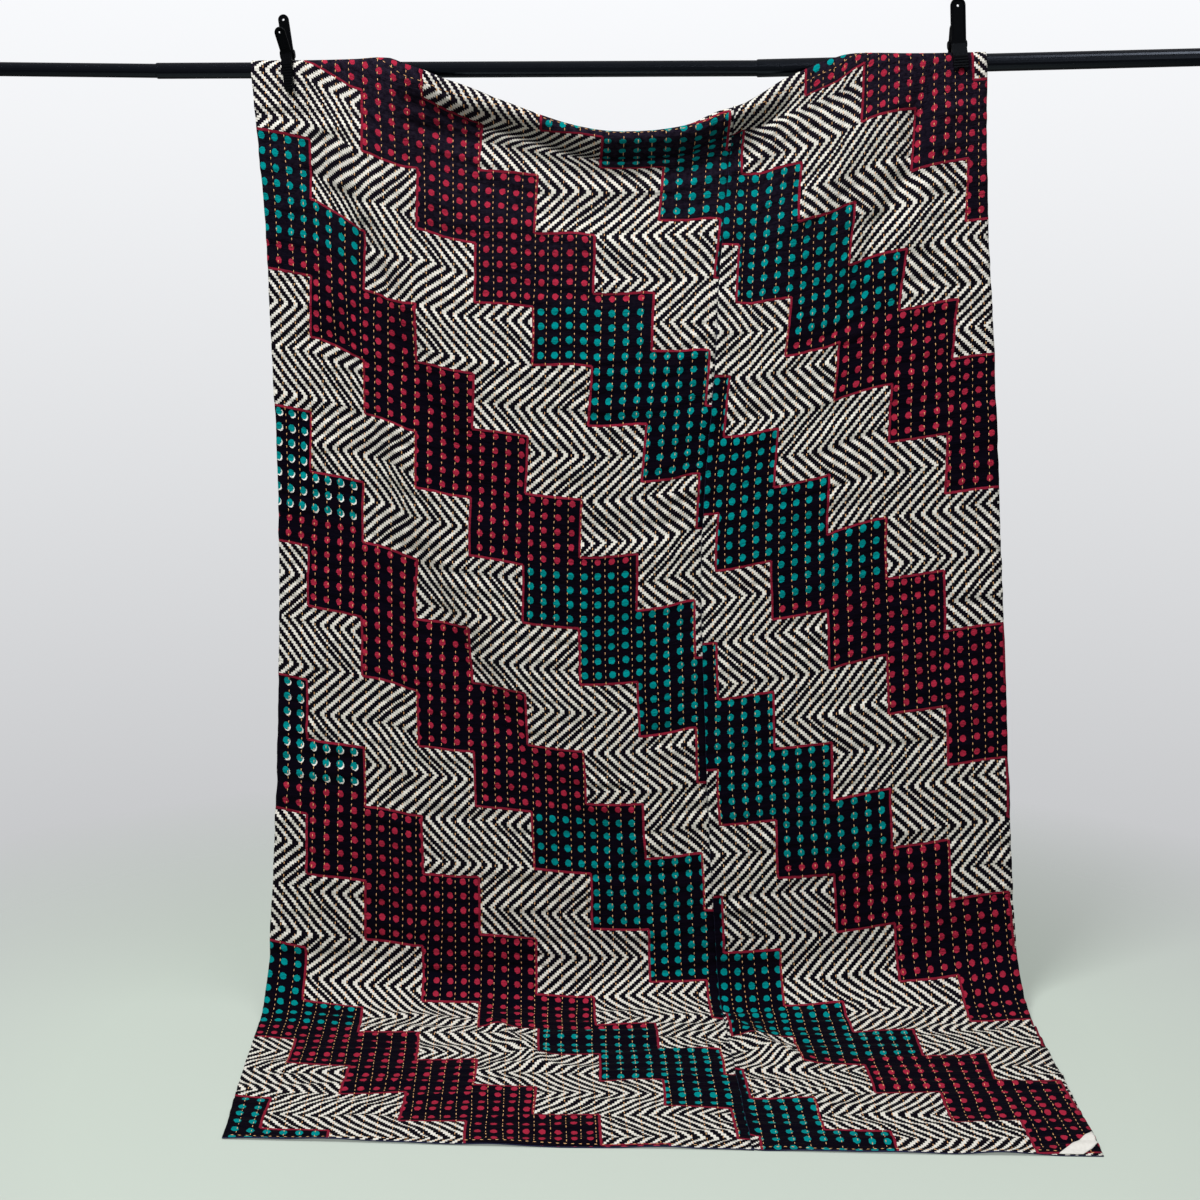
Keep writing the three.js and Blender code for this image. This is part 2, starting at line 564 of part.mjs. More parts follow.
const part = new THREE.Group();
part.position.y = -FOOTPRINT_MIDDLE;

function addPiece(parent, name, geometry, material) {
  const mesh = new THREE.Mesh(geometry, material);
  mesh.name = name;
  parent.add(mesh);
}

const halfSeam = SEAM_GAP / 2 / QUILT_WIDTH;
addPiece(part, 'quilt_left_panel', sheetPanel(0, SEAM_ACROSS - halfSeam, LEFT_COLUMNS), quiltCloth);
addPiece(part, 'quilt_right_panel', sheetPanel(SEAM_ACROSS + halfSeam, 1, RIGHT_COLUMNS), quiltCloth);
addPiece(part, 'corner_label', cornerLabel(), tapeCloth);

['bar_left_tube', 'bar_middle_tube', 'bar_right_tube'].forEach((name, index) => {
  addPiece(part, name, barTube(index), blackPaint);
});

for (const clamp of CLAMPS) {
  const inner = barRadius(clamp.x) + CLOTH_CLEARANCE + QUILT_THICK + JAW_CLEARANCE;
  const pivotHeight = inner + clamp.pivotRise;
  const holder = new THREE.Group();
  holder.position.set(clamp.x, 0, barHeight(clamp.x));
  holder.rotation.y = -degrees(clamp.sway);
  addPiece(holder, `${clamp.name}_clamp_front_lever`, clampLever(clamp, inner, pivotHeight, -1), blackNylon);
  addPiece(holder, `${clamp.name}_clamp_back_lever`, clampLever(clamp, inner, pivotHeight, 1), blackNylon);
  addPiece(holder, `${clamp.name}_clamp_pin`, clampPin(clamp, pivotHeight), blackNylon);
  addPiece(holder, `${clamp.name}_clamp_spring`, clampSpring(clamp, pivotHeight), springSteel);
  part.add(holder);
}

export default part;
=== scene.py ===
# %% [markdown]
# # A kantha quilt on a crossbar
# The quilt is two printed panels sewn side by side and worked all over with rows of running stitch.
# Two spring clamps hold its top corners on a telescopic bar, the edge between them sags, and the
# lower end turns onto the floor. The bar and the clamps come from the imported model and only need
# finishes. The cloth is made here: laid out flat, as a maker would cut and sew it, and then hung.

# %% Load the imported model
import math

import bmesh
import bpy
import numpy as np
from mathutils import Matrix, Vector, noise


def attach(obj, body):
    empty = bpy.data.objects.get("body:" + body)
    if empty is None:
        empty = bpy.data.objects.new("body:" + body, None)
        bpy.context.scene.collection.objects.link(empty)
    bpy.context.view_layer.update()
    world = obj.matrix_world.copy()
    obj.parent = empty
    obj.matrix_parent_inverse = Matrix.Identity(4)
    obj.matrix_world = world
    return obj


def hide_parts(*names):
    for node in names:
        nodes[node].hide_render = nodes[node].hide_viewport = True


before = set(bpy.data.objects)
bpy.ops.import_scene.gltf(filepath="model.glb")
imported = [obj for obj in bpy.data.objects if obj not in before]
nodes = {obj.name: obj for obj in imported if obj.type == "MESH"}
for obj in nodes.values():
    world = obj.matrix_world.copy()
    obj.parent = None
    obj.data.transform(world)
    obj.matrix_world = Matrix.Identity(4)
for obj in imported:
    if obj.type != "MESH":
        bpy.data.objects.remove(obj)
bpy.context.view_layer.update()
print("solids:", ", ".join(sorted(nodes)))

# %% [markdown]
# ## How the cloth hangs
# A cloth simulation could drop the quilt over the bar, but it would not sag where this one does.
# So the hang is written down as a few short tables: how the top edge is carried along the bar,
# where the cloth turns onto the floor, how its sides run, and where its main folds lie. The tables
# are the ones that shape the quilt's solids, here in metres, so the cloth lies where they are.

# %% Sizes of the quilt and of the bar it hangs from
QUILT_LENGTH = 2.06
QUILT_WIDTH = 1.21
QUILT_THICK = 0.002
SEAM_ACROSS = 0.6
CLOTH_CLEARANCE = 0.0006
BAR_BACK_FROM_MIDDLE = 0.3156
BAR_TUBE_RADII = (0.0125, 0.014)
BAR_TUBE_CHANGE = (0.19, 0.32)


def table(columns, *rows):
    """A table with named columns, one array for each."""
    return {name: np.array(values, dtype=float) for name, values in zip(columns.split(), zip(*rows))}


BAR = table("x z", (-1.0, 1.53), (-0.716, 1.527), (0.254, 1.531), (1.0, 1.549))
print(f"quilt {QUILT_WIDTH} x {QUILT_LENGTH} m, seam at {QUILT_WIDTH * SEAM_ACROSS:.3f} m")

# %% The top edge along the bar
# The turn over the bar, or the free curl of the edge, has its centre so far above the bar's axis, a
# radius beyond the bar's own seat, a place so far ahead, an angle in degrees and a straight end.
TOP_TURNS = table(
    "x lift spare ahead turn end",
    (-0.561, 0.000, 0.0002, 0.0, 180, 0.012),
    (-0.500, 0.000, 0.0003, 0.0, 180, 0.012),
    (-0.445, 0.000, 0.0008, 0.0, 178, 0.011),
    (-0.390, 0.000, 0.0022, 0.0, 145, 0.008),
    (-0.352, -0.001, 0.0048, 0.0025, 88, 0.005),
    (-0.320, -0.006, 0.0042, 0.005, 38, 0.004),
    (-0.276, -0.017, 0.0026, 0.006, 24, 0.004),
    (-0.247, -0.028, -0.0010, 0.007, 26, 0.004),
    (-0.201, -0.045, -0.0040, 0.007, 60, 0.004),
    (-0.153, -0.062, -0.0050, 0.008, 100, 0.004),
    (-0.093, -0.084, -0.0055, 0.010, 125, 0.005),
    (-0.040, -0.100, -0.0055, 0.012, 130, 0.006),
    (0.010, -0.109, -0.0055, 0.014, 130, 0.006),
    (0.056, -0.110, -0.0055, 0.014, 130, 0.006),
    (0.100, -0.107, -0.0055, 0.013, 125, 0.006),
    (0.145, -0.099, -0.0050, 0.011, 115, 0.005),
    (0.190, -0.080, -0.0045, 0.009, 105, 0.004),
    (0.225, -0.071, -0.0040, 0.008, 85, 0.004),
    (0.265, -0.051, -0.0040, 0.007, 55, 0.004),
    (0.301, -0.029, -0.0010, 0.007, 26, 0.004),
    (0.330, -0.018, 0.0020, 0.006, 24, 0.004),
    (0.355, -0.009, 0.0028, 0.005, 30, 0.004),
    (0.381, -0.007, 0.0042, 0.005, 54, 0.004),
    (0.406, -0.002, 0.0042, 0.002, 92, 0.004),
    (0.444, 0.000, 0.0028, 0.0, 145, 0.004),
    (0.494, 0.000, 0.0010, 0.0, 178, 0.006),
    (0.535, 0.000, 0.0002, 0.0, 180, 0.008),
    (0.620, 0.000, 0.0000, 0.0, 180, 0.008),
)
print(f"the edge sags {-TOP_TURNS['lift'].min() * 1000:.0f} mm below the bar's axis")

# %% The floor line, the sides and the main folds
# The foot of the hanging line, the radius of the bend onto the floor and the hem, across the quilt
FLOOR_LINE = table(
    "across foot bend hem",
    (0.00, -0.118, 0.105, -0.606),
    (0.18, -0.104, 0.078, -0.618),
    (0.34, -0.112, 0.066, -0.629),
    (0.50, -0.102, 0.080, -0.634),
    (0.63, -0.114, 0.072, -0.641),
    (0.80, -0.104, 0.092, -0.650),
    (1.00, -0.112, 0.125, -0.656),
)
# The two sides and the seam, by the length of cloth from the top edge
SIDES = table(
    "down left seam right",
    (0.00, -0.561, 0.219, 0.620),
    (0.06, -0.561, 0.217, 0.621),
    (0.28, -0.543, 0.198, 0.627),
    (0.44, -0.537, 0.190, 0.637),
    (0.75, -0.527, 0.170, 0.655),
    (1.08, -0.531, 0.178, 0.673),
    (1.33, -0.541, 0.190, 0.686),
    (1.56, -0.553, 0.203, 0.700),
    (1.75, -0.545, 0.206, 0.694),
    (2.06, -0.519, 0.209, 0.677),
)
# Straight runs in the flat cloth, from one place to another, with a width and a rise
FOLDS = table(
    "across down to_across to_down width rise",
    (0.05, 0.070, 0.065, 0.220, 0.024, -0.010),
    (0.065, 0.220, 0.125, 0.305, 0.024, -0.014),
    (0.125, 0.305, 0.19, 0.500, 0.028, -0.018),
    (0.19, 0.500, 0.29, 0.680, 0.036, -0.015),
    (0.1, 0.130, 0.24, 0.480, 0.040, 0.009),
    (0.09, 0.480, 0.135, 0.650, 0.026, -0.012),
    (0.135, 0.650, 0.185, 0.800, 0.026, -0.017),
    (0.185, 0.800, 0.315, 1.070, 0.032, -0.020),
    (0.315, 1.070, 0.43, 1.240, 0.042, -0.012),
    (0.17, 0.620, 0.33, 0.960, 0.045, 0.008),
    (0.2, 0.052, 0.55, 0.054, 0.024, -0.040),
    (0.55, 0.054, 0.68, 0.040, 0.022, -0.032),
    (0.22, 0.085, 0.62, 0.085, 0.045, -0.039),
    (0.24, 0.140, 0.62, 0.140, 0.075, -0.030),
    (0.26, 0.230, 0.62, 0.230, 0.110, -0.016),
    (0.92, 0.060, 0.893, 0.110, 0.016, -0.008),
    (0.893, 0.110, 0.88, 0.230, 0.020, -0.010),
    (0.88, 0.230, 0.838, 0.300, 0.022, -0.011),
    (0.838, 0.300, 0.8, 0.400, 0.026, -0.008),
    (0.935, 0.120, 0.89, 0.330, 0.030, 0.007),
    (0.86, 0.110, 0.7, 0.250, 0.034, 0.009),
    (0.61, 0.350, 0.6, 1.250, 0.040, -0.007),
    (0.42, 0.700, 0.585, 0.695, 0.016, -0.006),
    (0.44, 1.308, 0.585, 1.308, 0.014, -0.005),
    (0.78, 0.700, 0.8, 1.500, 0.080, 0.008),
    (0.5, 1.000, 0.52, 1.560, 0.070, 0.007),
    (0.06, 1.000, 0.05, 1.600, 0.060, 0.007),
    (0.3, 1.640, 0.36, 1.780, 0.024, 0.008),
    (0.61, 1.640, 0.67, 1.770, 0.028, 0.010),
    (0.14, 1.690, 0.5, 1.670, 0.024, 0.005),
)
FOLD_FADE_ON_BAR = 0.1
FOLD_FADE_FREE = 0.03
FREE_SAG = 0.06
print(len(FOLDS["rise"]), "main folds")

# %% [markdown]
# The solids carry the main folds with soft bottoms. A real fold in stitched cotton is sharper along
# its line, so the cloth has a second table of narrow creases that lie in those folds. They could be
# left to a cloth simulation, but then they would fall elsewhere on each run.

# %% Narrow creases in the main folds
CREASES = table(
    "across down to_across to_down width rise",
    (0.060, 0.085, 0.072, 0.225, 0.012, -0.005),
    (0.072, 0.225, 0.125, 0.305, 0.013, -0.007),
    (0.125, 0.305, 0.190, 0.500, 0.015, -0.006),
    (0.190, 0.500, 0.285, 0.675, 0.019, -0.005),
    (0.100, 0.500, 0.140, 0.650, 0.012, -0.004),
    (0.140, 0.650, 0.190, 0.800, 0.014, -0.006),
    (0.190, 0.800, 0.255, 0.950, 0.015, -0.008),
    (0.255, 0.950, 0.320, 1.070, 0.017, -0.006),
    (0.120, 0.052, 0.280, 0.050, 0.018, -0.007),
    (0.604, 0.020, 0.600, 0.100, 0.010, -0.006),
    (0.920, 0.060, 0.893, 0.110, 0.009, -0.003),
    (0.893, 0.110, 0.880, 0.230, 0.011, -0.003),
    (0.880, 0.230, 0.838, 0.300, 0.012, -0.003),
    (0.838, 0.300, 0.790, 0.400, 0.014, -0.002),
    (0.770, 0.250, 0.760, 0.340, 0.012, -0.003),
    (0.300, 1.640, 0.360, 1.780, 0.010, 0.003),
    (0.610, 1.640, 0.670, 1.770, 0.011, 0.003),
)
print(len(CREASES["rise"]), "narrow creases")

# %% [markdown]
# ## From flat cloth to hung cloth
# Every sewn thing on the quilt has a place in the flat: a share of the width, a length down from the
# top edge and a height off the cloth. `lay` takes such places to where they hang. Because the cloth,
# the stitches and the tape all go through the same function, they stay together.


# %% Reading a table along a smooth curve
def from_table(rows, key, at, column):
    """A cubic through the rows of a table, at the given values of its key column."""
    keys = rows[key]
    values = rows[column]
    last = len(keys) - 1
    before = np.maximum(np.arange(last + 1) - 1, 0)
    after = np.minimum(np.arange(last + 1) + 1, last)
    slopes = (values[after] - values[before]) / (keys[after] - keys[before])
    row = np.searchsorted(keys[1:-1], at)
    span = keys[row + 1] - keys[row]
    share = np.clip((at - keys[row]) / span, 0, 1)
    change = values[row + 1] - values[row]
    bend_in = slopes[row] * span - change
    bend_out = change - slopes[row + 1] * span
    return values[row] + change * share + share * (1 - share) * (bend_in * (1 - share) + bend_out * share)


def smooth_step(value):
    """0 to 1 with soft ends."""
    share = np.clip(value, 0, 1)
    return share * share * (3 - 2 * share)


print("bar height at the middle:", float(np.interp(0.0, BAR["x"], BAR["z"])))


# %% Where a share of the width lies along the bar
def sheet_x(across, down):
    """Along the bar, in the panel that holds this share of the flat width."""
    left, seam, right = (from_table(SIDES, "down", down, name) for name in ("left", "seam", "right"))
    in_left = left + (seam - left) * across / SEAM_ACROSS
    in_right = seam + (right - seam) * (across - SEAM_ACROSS) / (1 - SEAM_ACROSS)
    return np.where(across < SEAM_ACROSS, in_left, in_right)


def seat_radius(x):
    """The radius of the cloth's middle where it lies on the bar."""
    return np.interp(x, BAR_TUBE_CHANGE, BAR_TUBE_RADII) + CLOTH_CLEARANCE + QUILT_THICK / 2


print("the cloth turns over the bar at a radius of", seat_radius(0.0), "m")

# %% [markdown]
# The rows of running stitch draw a kantha quilt up into short ridges that lie across the rows. They
# could be bump in the material, but on the floor they are seen from low down and change the outline
# of the print, so they are real relief: a noise stretched sideways, a few millimetres high.

# %% Folds and puckers
PUCKER_LENGTH = 0.11
PUCKER_PITCH = 0.021
PUCKER_SLANT = 0.06
PUCKER_RISE_HUNG = 0.004
PUCKER_RISE_FLOOR = 0.0045
PUCKER_FLOOR_BIAS = 0.35
WRINKLE_SCALE = 1.7
WRINKLE_SHARE = 0.45
WAVER_REACH = 0.0016
WAVER_LENGTH = 0.06
RIDGE_NOISE = 0.0
WRINKLE_NOISE = 7.0
WAVER_NOISE = 3.0


def fold_rise(folds, across, down):
    """How far a table of folds moves the cloth at these places: the deepest there and the highest."""
    deepest = np.zeros_like(down)
    highest = np.zeros_like(down)
    for fold in zip(*folds.values()):
        start_u, start_v, end_u, end_v, width, height = fold
        run_u = (end_u - start_u) * QUILT_WIDTH
        run_v = end_v - start_v
        off_u = (across - start_u) * QUILT_WIDTH
        off_v = down - start_v
        along = np.clip((off_u * run_u + off_v * run_v) / (run_u**2 + run_v**2), 0, 1)
        away = np.hypot(off_u - along * run_u, off_v - along * run_v)
        rise = height * np.exp(-((away / width) ** 2))
        deepest = np.minimum(deepest, rise)
        highest = np.maximum(highest, rise)
    return deepest + highest


def pucker(across, down):
    """Short ridges across the rows of stitches, with smaller wrinkles on them, from about -0.7 to 0.7."""
    sideways = across * QUILT_WIDTH / PUCKER_LENGTH
    lengthways = (down + across * PUCKER_SLANT) / PUCKER_PITCH
    places = list(zip(sideways, lengthways))
    finer = [(u * WRINKLE_SCALE, v * WRINKLE_SCALE) for u, v in places]
    ridges = np.array([noise.noise((u, v, RIDGE_NOISE)) for u, v in places])
    wrinkles = np.array([noise.noise((u, v, WRINKLE_NOISE)) for u, v in finer])
    return ridges + WRINKLE_SHARE * wrinkles


def waver(across, down):
    """The small sideways unevenness of cloth that was sewn by hand."""
    places = zip(across * QUILT_WIDTH / WAVER_LENGTH, down / WAVER_LENGTH)
    return WAVER_REACH * np.array([noise.noise((u, v, WAVER_NOISE)) for u, v in places])


print(f"puckers stand {PUCKER_RISE_HUNG * 1000:.0f} mm high, {PUCKER_PITCH * 1000:.0f} mm apart")


# %% Hang places of the flat cloth
LOWEST_SHARE = 0.25


def drape(across, down):
    """Places of the cloth's middle for shares of the width and lengths down from the top edge."""
    top_x = sheet_x(across, np.zeros_like(down))
    lift, spare, ahead, turn_angle, end = (
        from_table(TOP_TURNS, "x", top_x, name) for name in ("lift", "spare", "ahead", "turn", "end")
    )
    foot_y, bend, hem = (from_table(FLOOR_LINE, "across", across, name) for name in ("foot", "bend", "hem"))
    foot_z = QUILT_THICK / 2
    seat = seat_radius(top_x)
    radius = seat + spare
    turn = np.radians(turn_angle)
    front = -np.maximum(seat, radius) - ahead
    centre_z = np.interp(top_x, BAR["x"], BAR["z"]) + lift

    lean = np.arctan2(front - foot_y, centre_z - foot_z)
    bend_turn = math.pi / 2 - lean
    bend_reach = bend * np.tan(bend_turn / 2)
    hang = np.hypot(front - foot_y, centre_z - foot_z) - bend_reach
    floor = foot_y - bend_reach - hem
    lengths = (end, radius * turn, hang, bend * bend_turn, floor)
    left_to_run = down / QUILT_LENGTH * sum(lengths)
    parts = []
    for length in lengths:
        parts.append(np.clip(left_to_run, 0, length))
        left_to_run = left_to_run - length
    on_end, on_turn, on_hang, on_bend, on_floor = parts

    turned = turn - on_turn / radius
    bent = lean + on_bend / bend
    back = end - on_end
    y = front + radius - radius * np.cos(turned) + back * np.sin(turn)
    y = y - on_hang * np.sin(lean) + bend * (np.cos(bent) - np.cos(lean)) - on_floor
    z = centre_z + radius * np.sin(turned) + back * np.cos(turn)
    z = z - on_hang * np.cos(lean) - bend * (np.sin(bent) - np.sin(lean))

    sag_share = np.clip(-lift / FREE_SAG, 0, 1)
    fade = FOLD_FADE_ON_BAR + (FOLD_FADE_FREE - FOLD_FADE_ON_BAR) * sag_share
    freedom = smooth_step(on_hang / fade)
    on_ground = smooth_step(on_bend / (bend * bend_turn))
    ridge = PUCKER_RISE_HUNG + (PUCKER_RISE_FLOOR - PUCKER_RISE_HUNG) * on_ground
    rise = fold_rise(FOLDS, across, down) + fold_rise(CREASES, across, down)
    rise += ridge * (pucker(across, down) + PUCKER_FLOOR_BIAS * on_ground)
    kept = np.maximum(freedom * rise, (foot_z - z) * LOWEST_SHARE)
    facing = np.where(on_hang > 0, bent, turned)
    return np.stack(
        [
            sheet_x(across, down) + waver(across, down),
            y - np.cos(facing) * kept + BAR_BACK_FROM_MIDDLE,
            z + np.sin(facing) * kept,
        ],
        axis=1,
    )


middle_top = drape(np.array([0.5]), np.array([0.0]))
print("middle of the top edge at", np.round(middle_top, 3).tolist())

# %% Lay things on the cloth
NUDGE = 0.002


def lay(across, down, height):
    """Places at a height off the cloth's middle, in front of it where the height is positive."""
    step = NUDGE / QUILT_WIDTH
    sideways = drape(across + step, down) - drape(across - step, down)
    above = np.clip(down - NUDGE, 0, QUILT_LENGTH)
    below = np.clip(down + NUDGE, 0, QUILT_LENGTH)
    downward = drape(across, below) - drape(across, above)
    facing = np.cross(downward, sideways)
    facing /= np.linalg.norm(facing, axis=1, keepdims=True)
    return drape(across, down) + facing * height[:, None]


corner_places = lay(np.array([0.0, 1.0]), np.array([QUILT_LENGTH] * 2), np.zeros(2))
print("lower corners at", np.round(corner_places, 3).tolist())

# %% [markdown]
# ## The two panels
# Each panel starts as a flat grid, cut to its own width, in a bmesh. Its print is given to it while
# it is flat, as a map of print columns and rows, and then its vertices are hung. A Solidify modifier
# gives the cloth its thickness, with the printed face in front and a plain one behind.
#
# The print is a stair of blocks four columns wide. It was stretched a little in the making, so the
# map follows a few lines of it down the cloth, each at a known column, and the slope of its rows.

# %% Where the print lies on the left panel
# Lines of the print by the length down, the rows' slope by the width, and the rows down the cloth
LEFT_PRINT = {
    "line_columns": (4, 12, 22, 32),
    "lines": table(
        "down first inner middle last",
        (0.035, 0.080, 0.256, 0.478, 0.717),
        (0.20, 0.076, 0.243, 0.472, 0.717),
        (0.43, 0.067, 0.237, 0.474, 0.713),
        (0.65, 0.058, 0.235, 0.466, 0.713),
        (0.88, 0.049, 0.231, 0.463, 0.711),
        (1.10, 0.049, 0.235, 0.467, 0.707),
        (1.32, 0.053, 0.243, 0.476, 0.709),
        (1.55, 0.059, 0.247, 0.476, 0.705),
        (1.76, 0.064, 0.253, 0.481, 0.708),
        (1.98, 0.049, 0.240, 0.473, 0.706),
    ),
    "slope": table(
        "u top middle low",
        (0.000, -0.001, -0.002, -0.002),
        (0.076, 0.012, 0.009, 0.006),
        (0.150, 0.052, 0.016, 0.007),
        (0.190, 0.052, 0.015, 0.003),
        (0.240, 0.032, 0.012, -0.003),
        (0.335, 0.026, 0.005, -0.013),
        (0.430, 0.008, 0.004, -0.016),
        (0.490, -0.010, -0.001, -0.017),
        (0.600, -0.015, -0.011, -0.021),
        (0.650, -0.009, -0.013, -0.023),
        (0.690, 0.004, -0.013, -0.022),
        (0.726, 0.015, -0.011, -0.020),
    ),
    "rows": table(
        "down row",
        (-0.1, -10.2),
        (0.154, 0),
        (0.602, 18),
        (1.048, 36),
        (1.50, 54),
        (1.696, 62),
        (1.931, 72),
        (2.12, 80),
    ),
}
print("left panel: the map follows columns", LEFT_PRINT["line_columns"])

# %% Where the print lies on the right panel
RIGHT_PRINT = {
    "line_columns": (0, 8, 16),
    "lines": table(
        "down first inner last",
        (0.08, 0.747, 0.973, 1.184),
        (0.28, 0.756, 0.965, 1.171),
        (0.50, 0.750, 0.939, 1.140),
        (0.72, 0.748, 0.928, 1.123),
        (0.95, 0.746, 0.926, 1.115),
        (1.17, 0.741, 0.924, 1.113),
        (1.40, 0.737, 0.921, 1.110),
        (1.62, 0.729, 0.920, 1.113),
        (1.84, 0.735, 0.922, 1.109),
        (2.04, 0.737, 0.926, 1.119),
    ),
    "slope": table(
        "u top middle low",
        (0.726, -0.020, 0.001, -0.004),
        (0.747, -0.015, 0.002, -0.003),
        (0.787, 0.000, 0.003, -0.002),
        (0.864, 0.014, 0.005, 0.000),
        (0.915, 0.017, 0.005, 0.000),
        (0.970, 0.024, 0.005, 0.000),
        (1.020, 0.020, 0.002, -0.003),
        (1.070, 0.016, -0.001, -0.006),
        (1.120, 0.006, -0.007, -0.012),
        (1.170, 0.000, -0.013, -0.018),
        (1.210, -0.003, -0.016, -0.021),
    ),
    "rows": table(
        "down row",
        (-0.1, -9.7),
        (0.135, 0),
        (0.57, 18),
        (1.012, 36),
        (1.459, 54),
        (1.661, 62),
        (1.902, 72),
        (2.12, 81),
    ),
}
print("right panel: the map follows columns", RIGHT_PRINT["line_columns"])

# %% From a place in the cloth to a column and row of the print
# Under the sagging edge some rows are lost in the fold, so the rows above it stand higher.
HEM_TAKE = table(
    "u rows",
    (0.00, 0.0),
    (0.20, 0.0),
    (0.30, 0.7),
    (0.42, 2.4),
    (0.68, 2.6),
    (0.76, 1.2),
    (0.92, 0.6),
    (1.00, 0.0),
    (1.21, 0.0),
)
HEM_TAKE_DEPTH = 0.085
HEM_TAKE_CHANGE = 0.06
TOP_SLOPE_ENDS = (0.35, 0.75)
LOW_SLOPE_STARTS = (0.95, 1.25)


def change_over(down, from_to):
    """0 to 1 between two lengths down the cloth."""
    return smooth_step((down - from_to[0]) / (from_to[1] - from_to[0]))


def print_place(chart, across, down):
    """The print's column and row at places in the flat cloth."""
    u = across * QUILT_WIDTH
    marks = chart["line_columns"]
    courses = chart["lines"]
    lines = [from_table(courses, "down", down, name) for name in courses if name != "down"]
    columns = np.zeros_like(u)
    for k in range(len(marks) - 1):
        share = (u - lines[k]) / (lines[k + 1] - lines[k])
        here = marks[k] + share * (marks[k + 1] - marks[k])
        columns = np.where((u < lines[k]) & (k > 0), columns, here)
    slope = chart["slope"]
    top, middle, low = (np.interp(u, slope["u"], slope[name]) for name in ("top", "middle", "low"))
    drop = top + (middle - top) * change_over(down, TOP_SLOPE_ENDS)
    drop += (low - middle) * change_over(down, LOW_SLOPE_STARTS)
    level = down - drop
    taken = np.interp(u, HEM_TAKE["u"], HEM_TAKE["rows"])
    taken = taken * smooth_step((HEM_TAKE_DEPTH - down) / HEM_TAKE_CHANGE)
    rows = np.interp(level, chart["rows"]["down"], chart["rows"]["row"]) - taken
    return columns, rows


corner = print_place(LEFT_PRINT, np.array([0.0]), np.array([0.0]))
print("the print starts at column and row", np.round(corner, 1).ravel().tolist())


# %% Cut a panel flat, print it and hang it
PANEL_ROWS = 540
LEFT_PANEL_COLUMNS = 84
RIGHT_PANEL_COLUMNS = 56
PRINT_MAP = "print"
LAP_OVER = 0.003
LAP_WIDTH = 0.009
LAP_RISE = 0.0021


def piece_from(name, shape):
    """An object of a finished bmesh, smooth all over."""
    for face in shape.faces:
        face.smooth = True
    mesh = bpy.data.meshes.new(name)
    shape.to_mesh(mesh)
    shape.free()
    piece = bpy.data.objects.new(name, mesh)
    bpy.context.collection.objects.link(piece)
    return piece


def thicken(piece, thickness):
    """A Solidify modifier, half to each side."""
    layer = piece.modifiers.new("cloth thickness", "SOLIDIFY")
    layer.thickness = thickness
    layer.offset = 0
    return layer


def cut_panel(name, from_across, to_across, columns, chart, lap_rise):
    """A flat grid of cloth with its print map, hung in place, and raised where it laps at the seam."""
    grid = bmesh.new()
    bmesh.ops.create_grid(grid, x_segments=columns, y_segments=PANEL_ROWS, size=0.5)
    flat = np.array([vertex.co for vertex in grid.verts])
    across = from_across + (to_across - from_across) * (flat[:, 0] + 0.5)
    down = QUILT_LENGTH * (0.5 - flat[:, 1])
    print_columns, print_rows = print_place(chart, across, down)
    past_seam = (across - SEAM_ACROSS) * QUILT_WIDTH
    places = lay(across, down, lap_rise * smooth_step(1 - past_seam / LAP_WIDTH))
    print_layer = grid.loops.layers.uv.new(PRINT_MAP)
    for face in grid.faces:
        for loop in face.loops:
            index = loop.vert.index
            loop[print_layer].uv = (print_columns[index], print_rows[index])
    for vertex, place in zip(grid.verts, places):
        vertex.co = place
    piece = piece_from(name, grid)
    layer = thicken(piece, QUILT_THICK)
    layer.material_offset = 1
    layer.material_offset_rim = 1
    return piece


right_start = SEAM_ACROSS - LAP_OVER / QUILT_WIDTH
left_panel = cut_panel("left_panel_cloth", 0.0, SEAM_ACROSS, LEFT_PANEL_COLUMNS, LEFT_PRINT, 0.0)
right_panel = cut_panel("right_panel_cloth", right_start, 1.0, RIGHT_PANEL_COLUMNS, RIGHT_PRINT, LAP_RISE)
for panel in (left_panel, right_panel):
    print(panel.name, len(panel.data.polygons), "quads, first normal", tuple(panel.data.polygons[0].normal))

# %% [markdown]
# ## Small helpers for materials
# A node material is a sum of small steps. A few helpers keep each step on one line: one adds a Math
# node and joins whatever it is given, one mixes two colours by a mask, and others add noise and bump.


# %% Helpers for node materials
# A Mix node has its colour sockets behind those for numbers and vectors.
MIX_FIRST = 6
MIX_SECOND = 7
MIX_RESULT = 2


def new_material(name):
    """A material with a node tree, and its main shader."""
    material = bpy.data.materials.new(name)
    material.use_nodes = True
    return material, material.node_tree, material.node_tree.nodes["Principled BSDF"]


def put(tree, socket, value):
    """Join a socket to a value: another socket is linked, anything else is set."""
    if isinstance(value, bpy.types.NodeSocket):
        tree.links.new(value, socket)
    else:
        socket.default_value = value


def object_place(tree):
    """Places in the piece's own coordinates, for a pattern that doesn't follow the cloth."""
    return tree.nodes.new("ShaderNodeTexCoord").outputs["Object"]


def calc(tree, operation, *values):
    """A Math node of the values, each a number or a socket."""
    node = tree.nodes.new("ShaderNodeMath")
    node.operation = operation
    for socket, value in zip(node.inputs, values):
        put(tree, socket, value)
    return node.outputs["Value"]


def mix(tree, mask, first, second):
    """first where the mask is 0, second where it is 1."""
    node = tree.nodes.new("ShaderNodeMix")
    node.data_type = "RGBA"
    put(tree, node.inputs["Factor"], mask)
    put(tree, node.inputs[MIX_FIRST], first)
    put(tree, node.inputs[MIX_SECOND], second)
    return node.outputs[MIX_RESULT]


def mottle(tree, place, scale, detail=2.0, roughness=0.5):
    """Soft noise from 0 to 1."""
    node = tree.nodes.new("ShaderNodeTexNoise")
    node.inputs["Scale"].default_value = scale
    node.inputs["Detail"].default_value = detail
    node.inputs["Roughness"].default_value = roughness
    put(tree, node.inputs["Vector"], place)
    return node.outputs["Fac"]


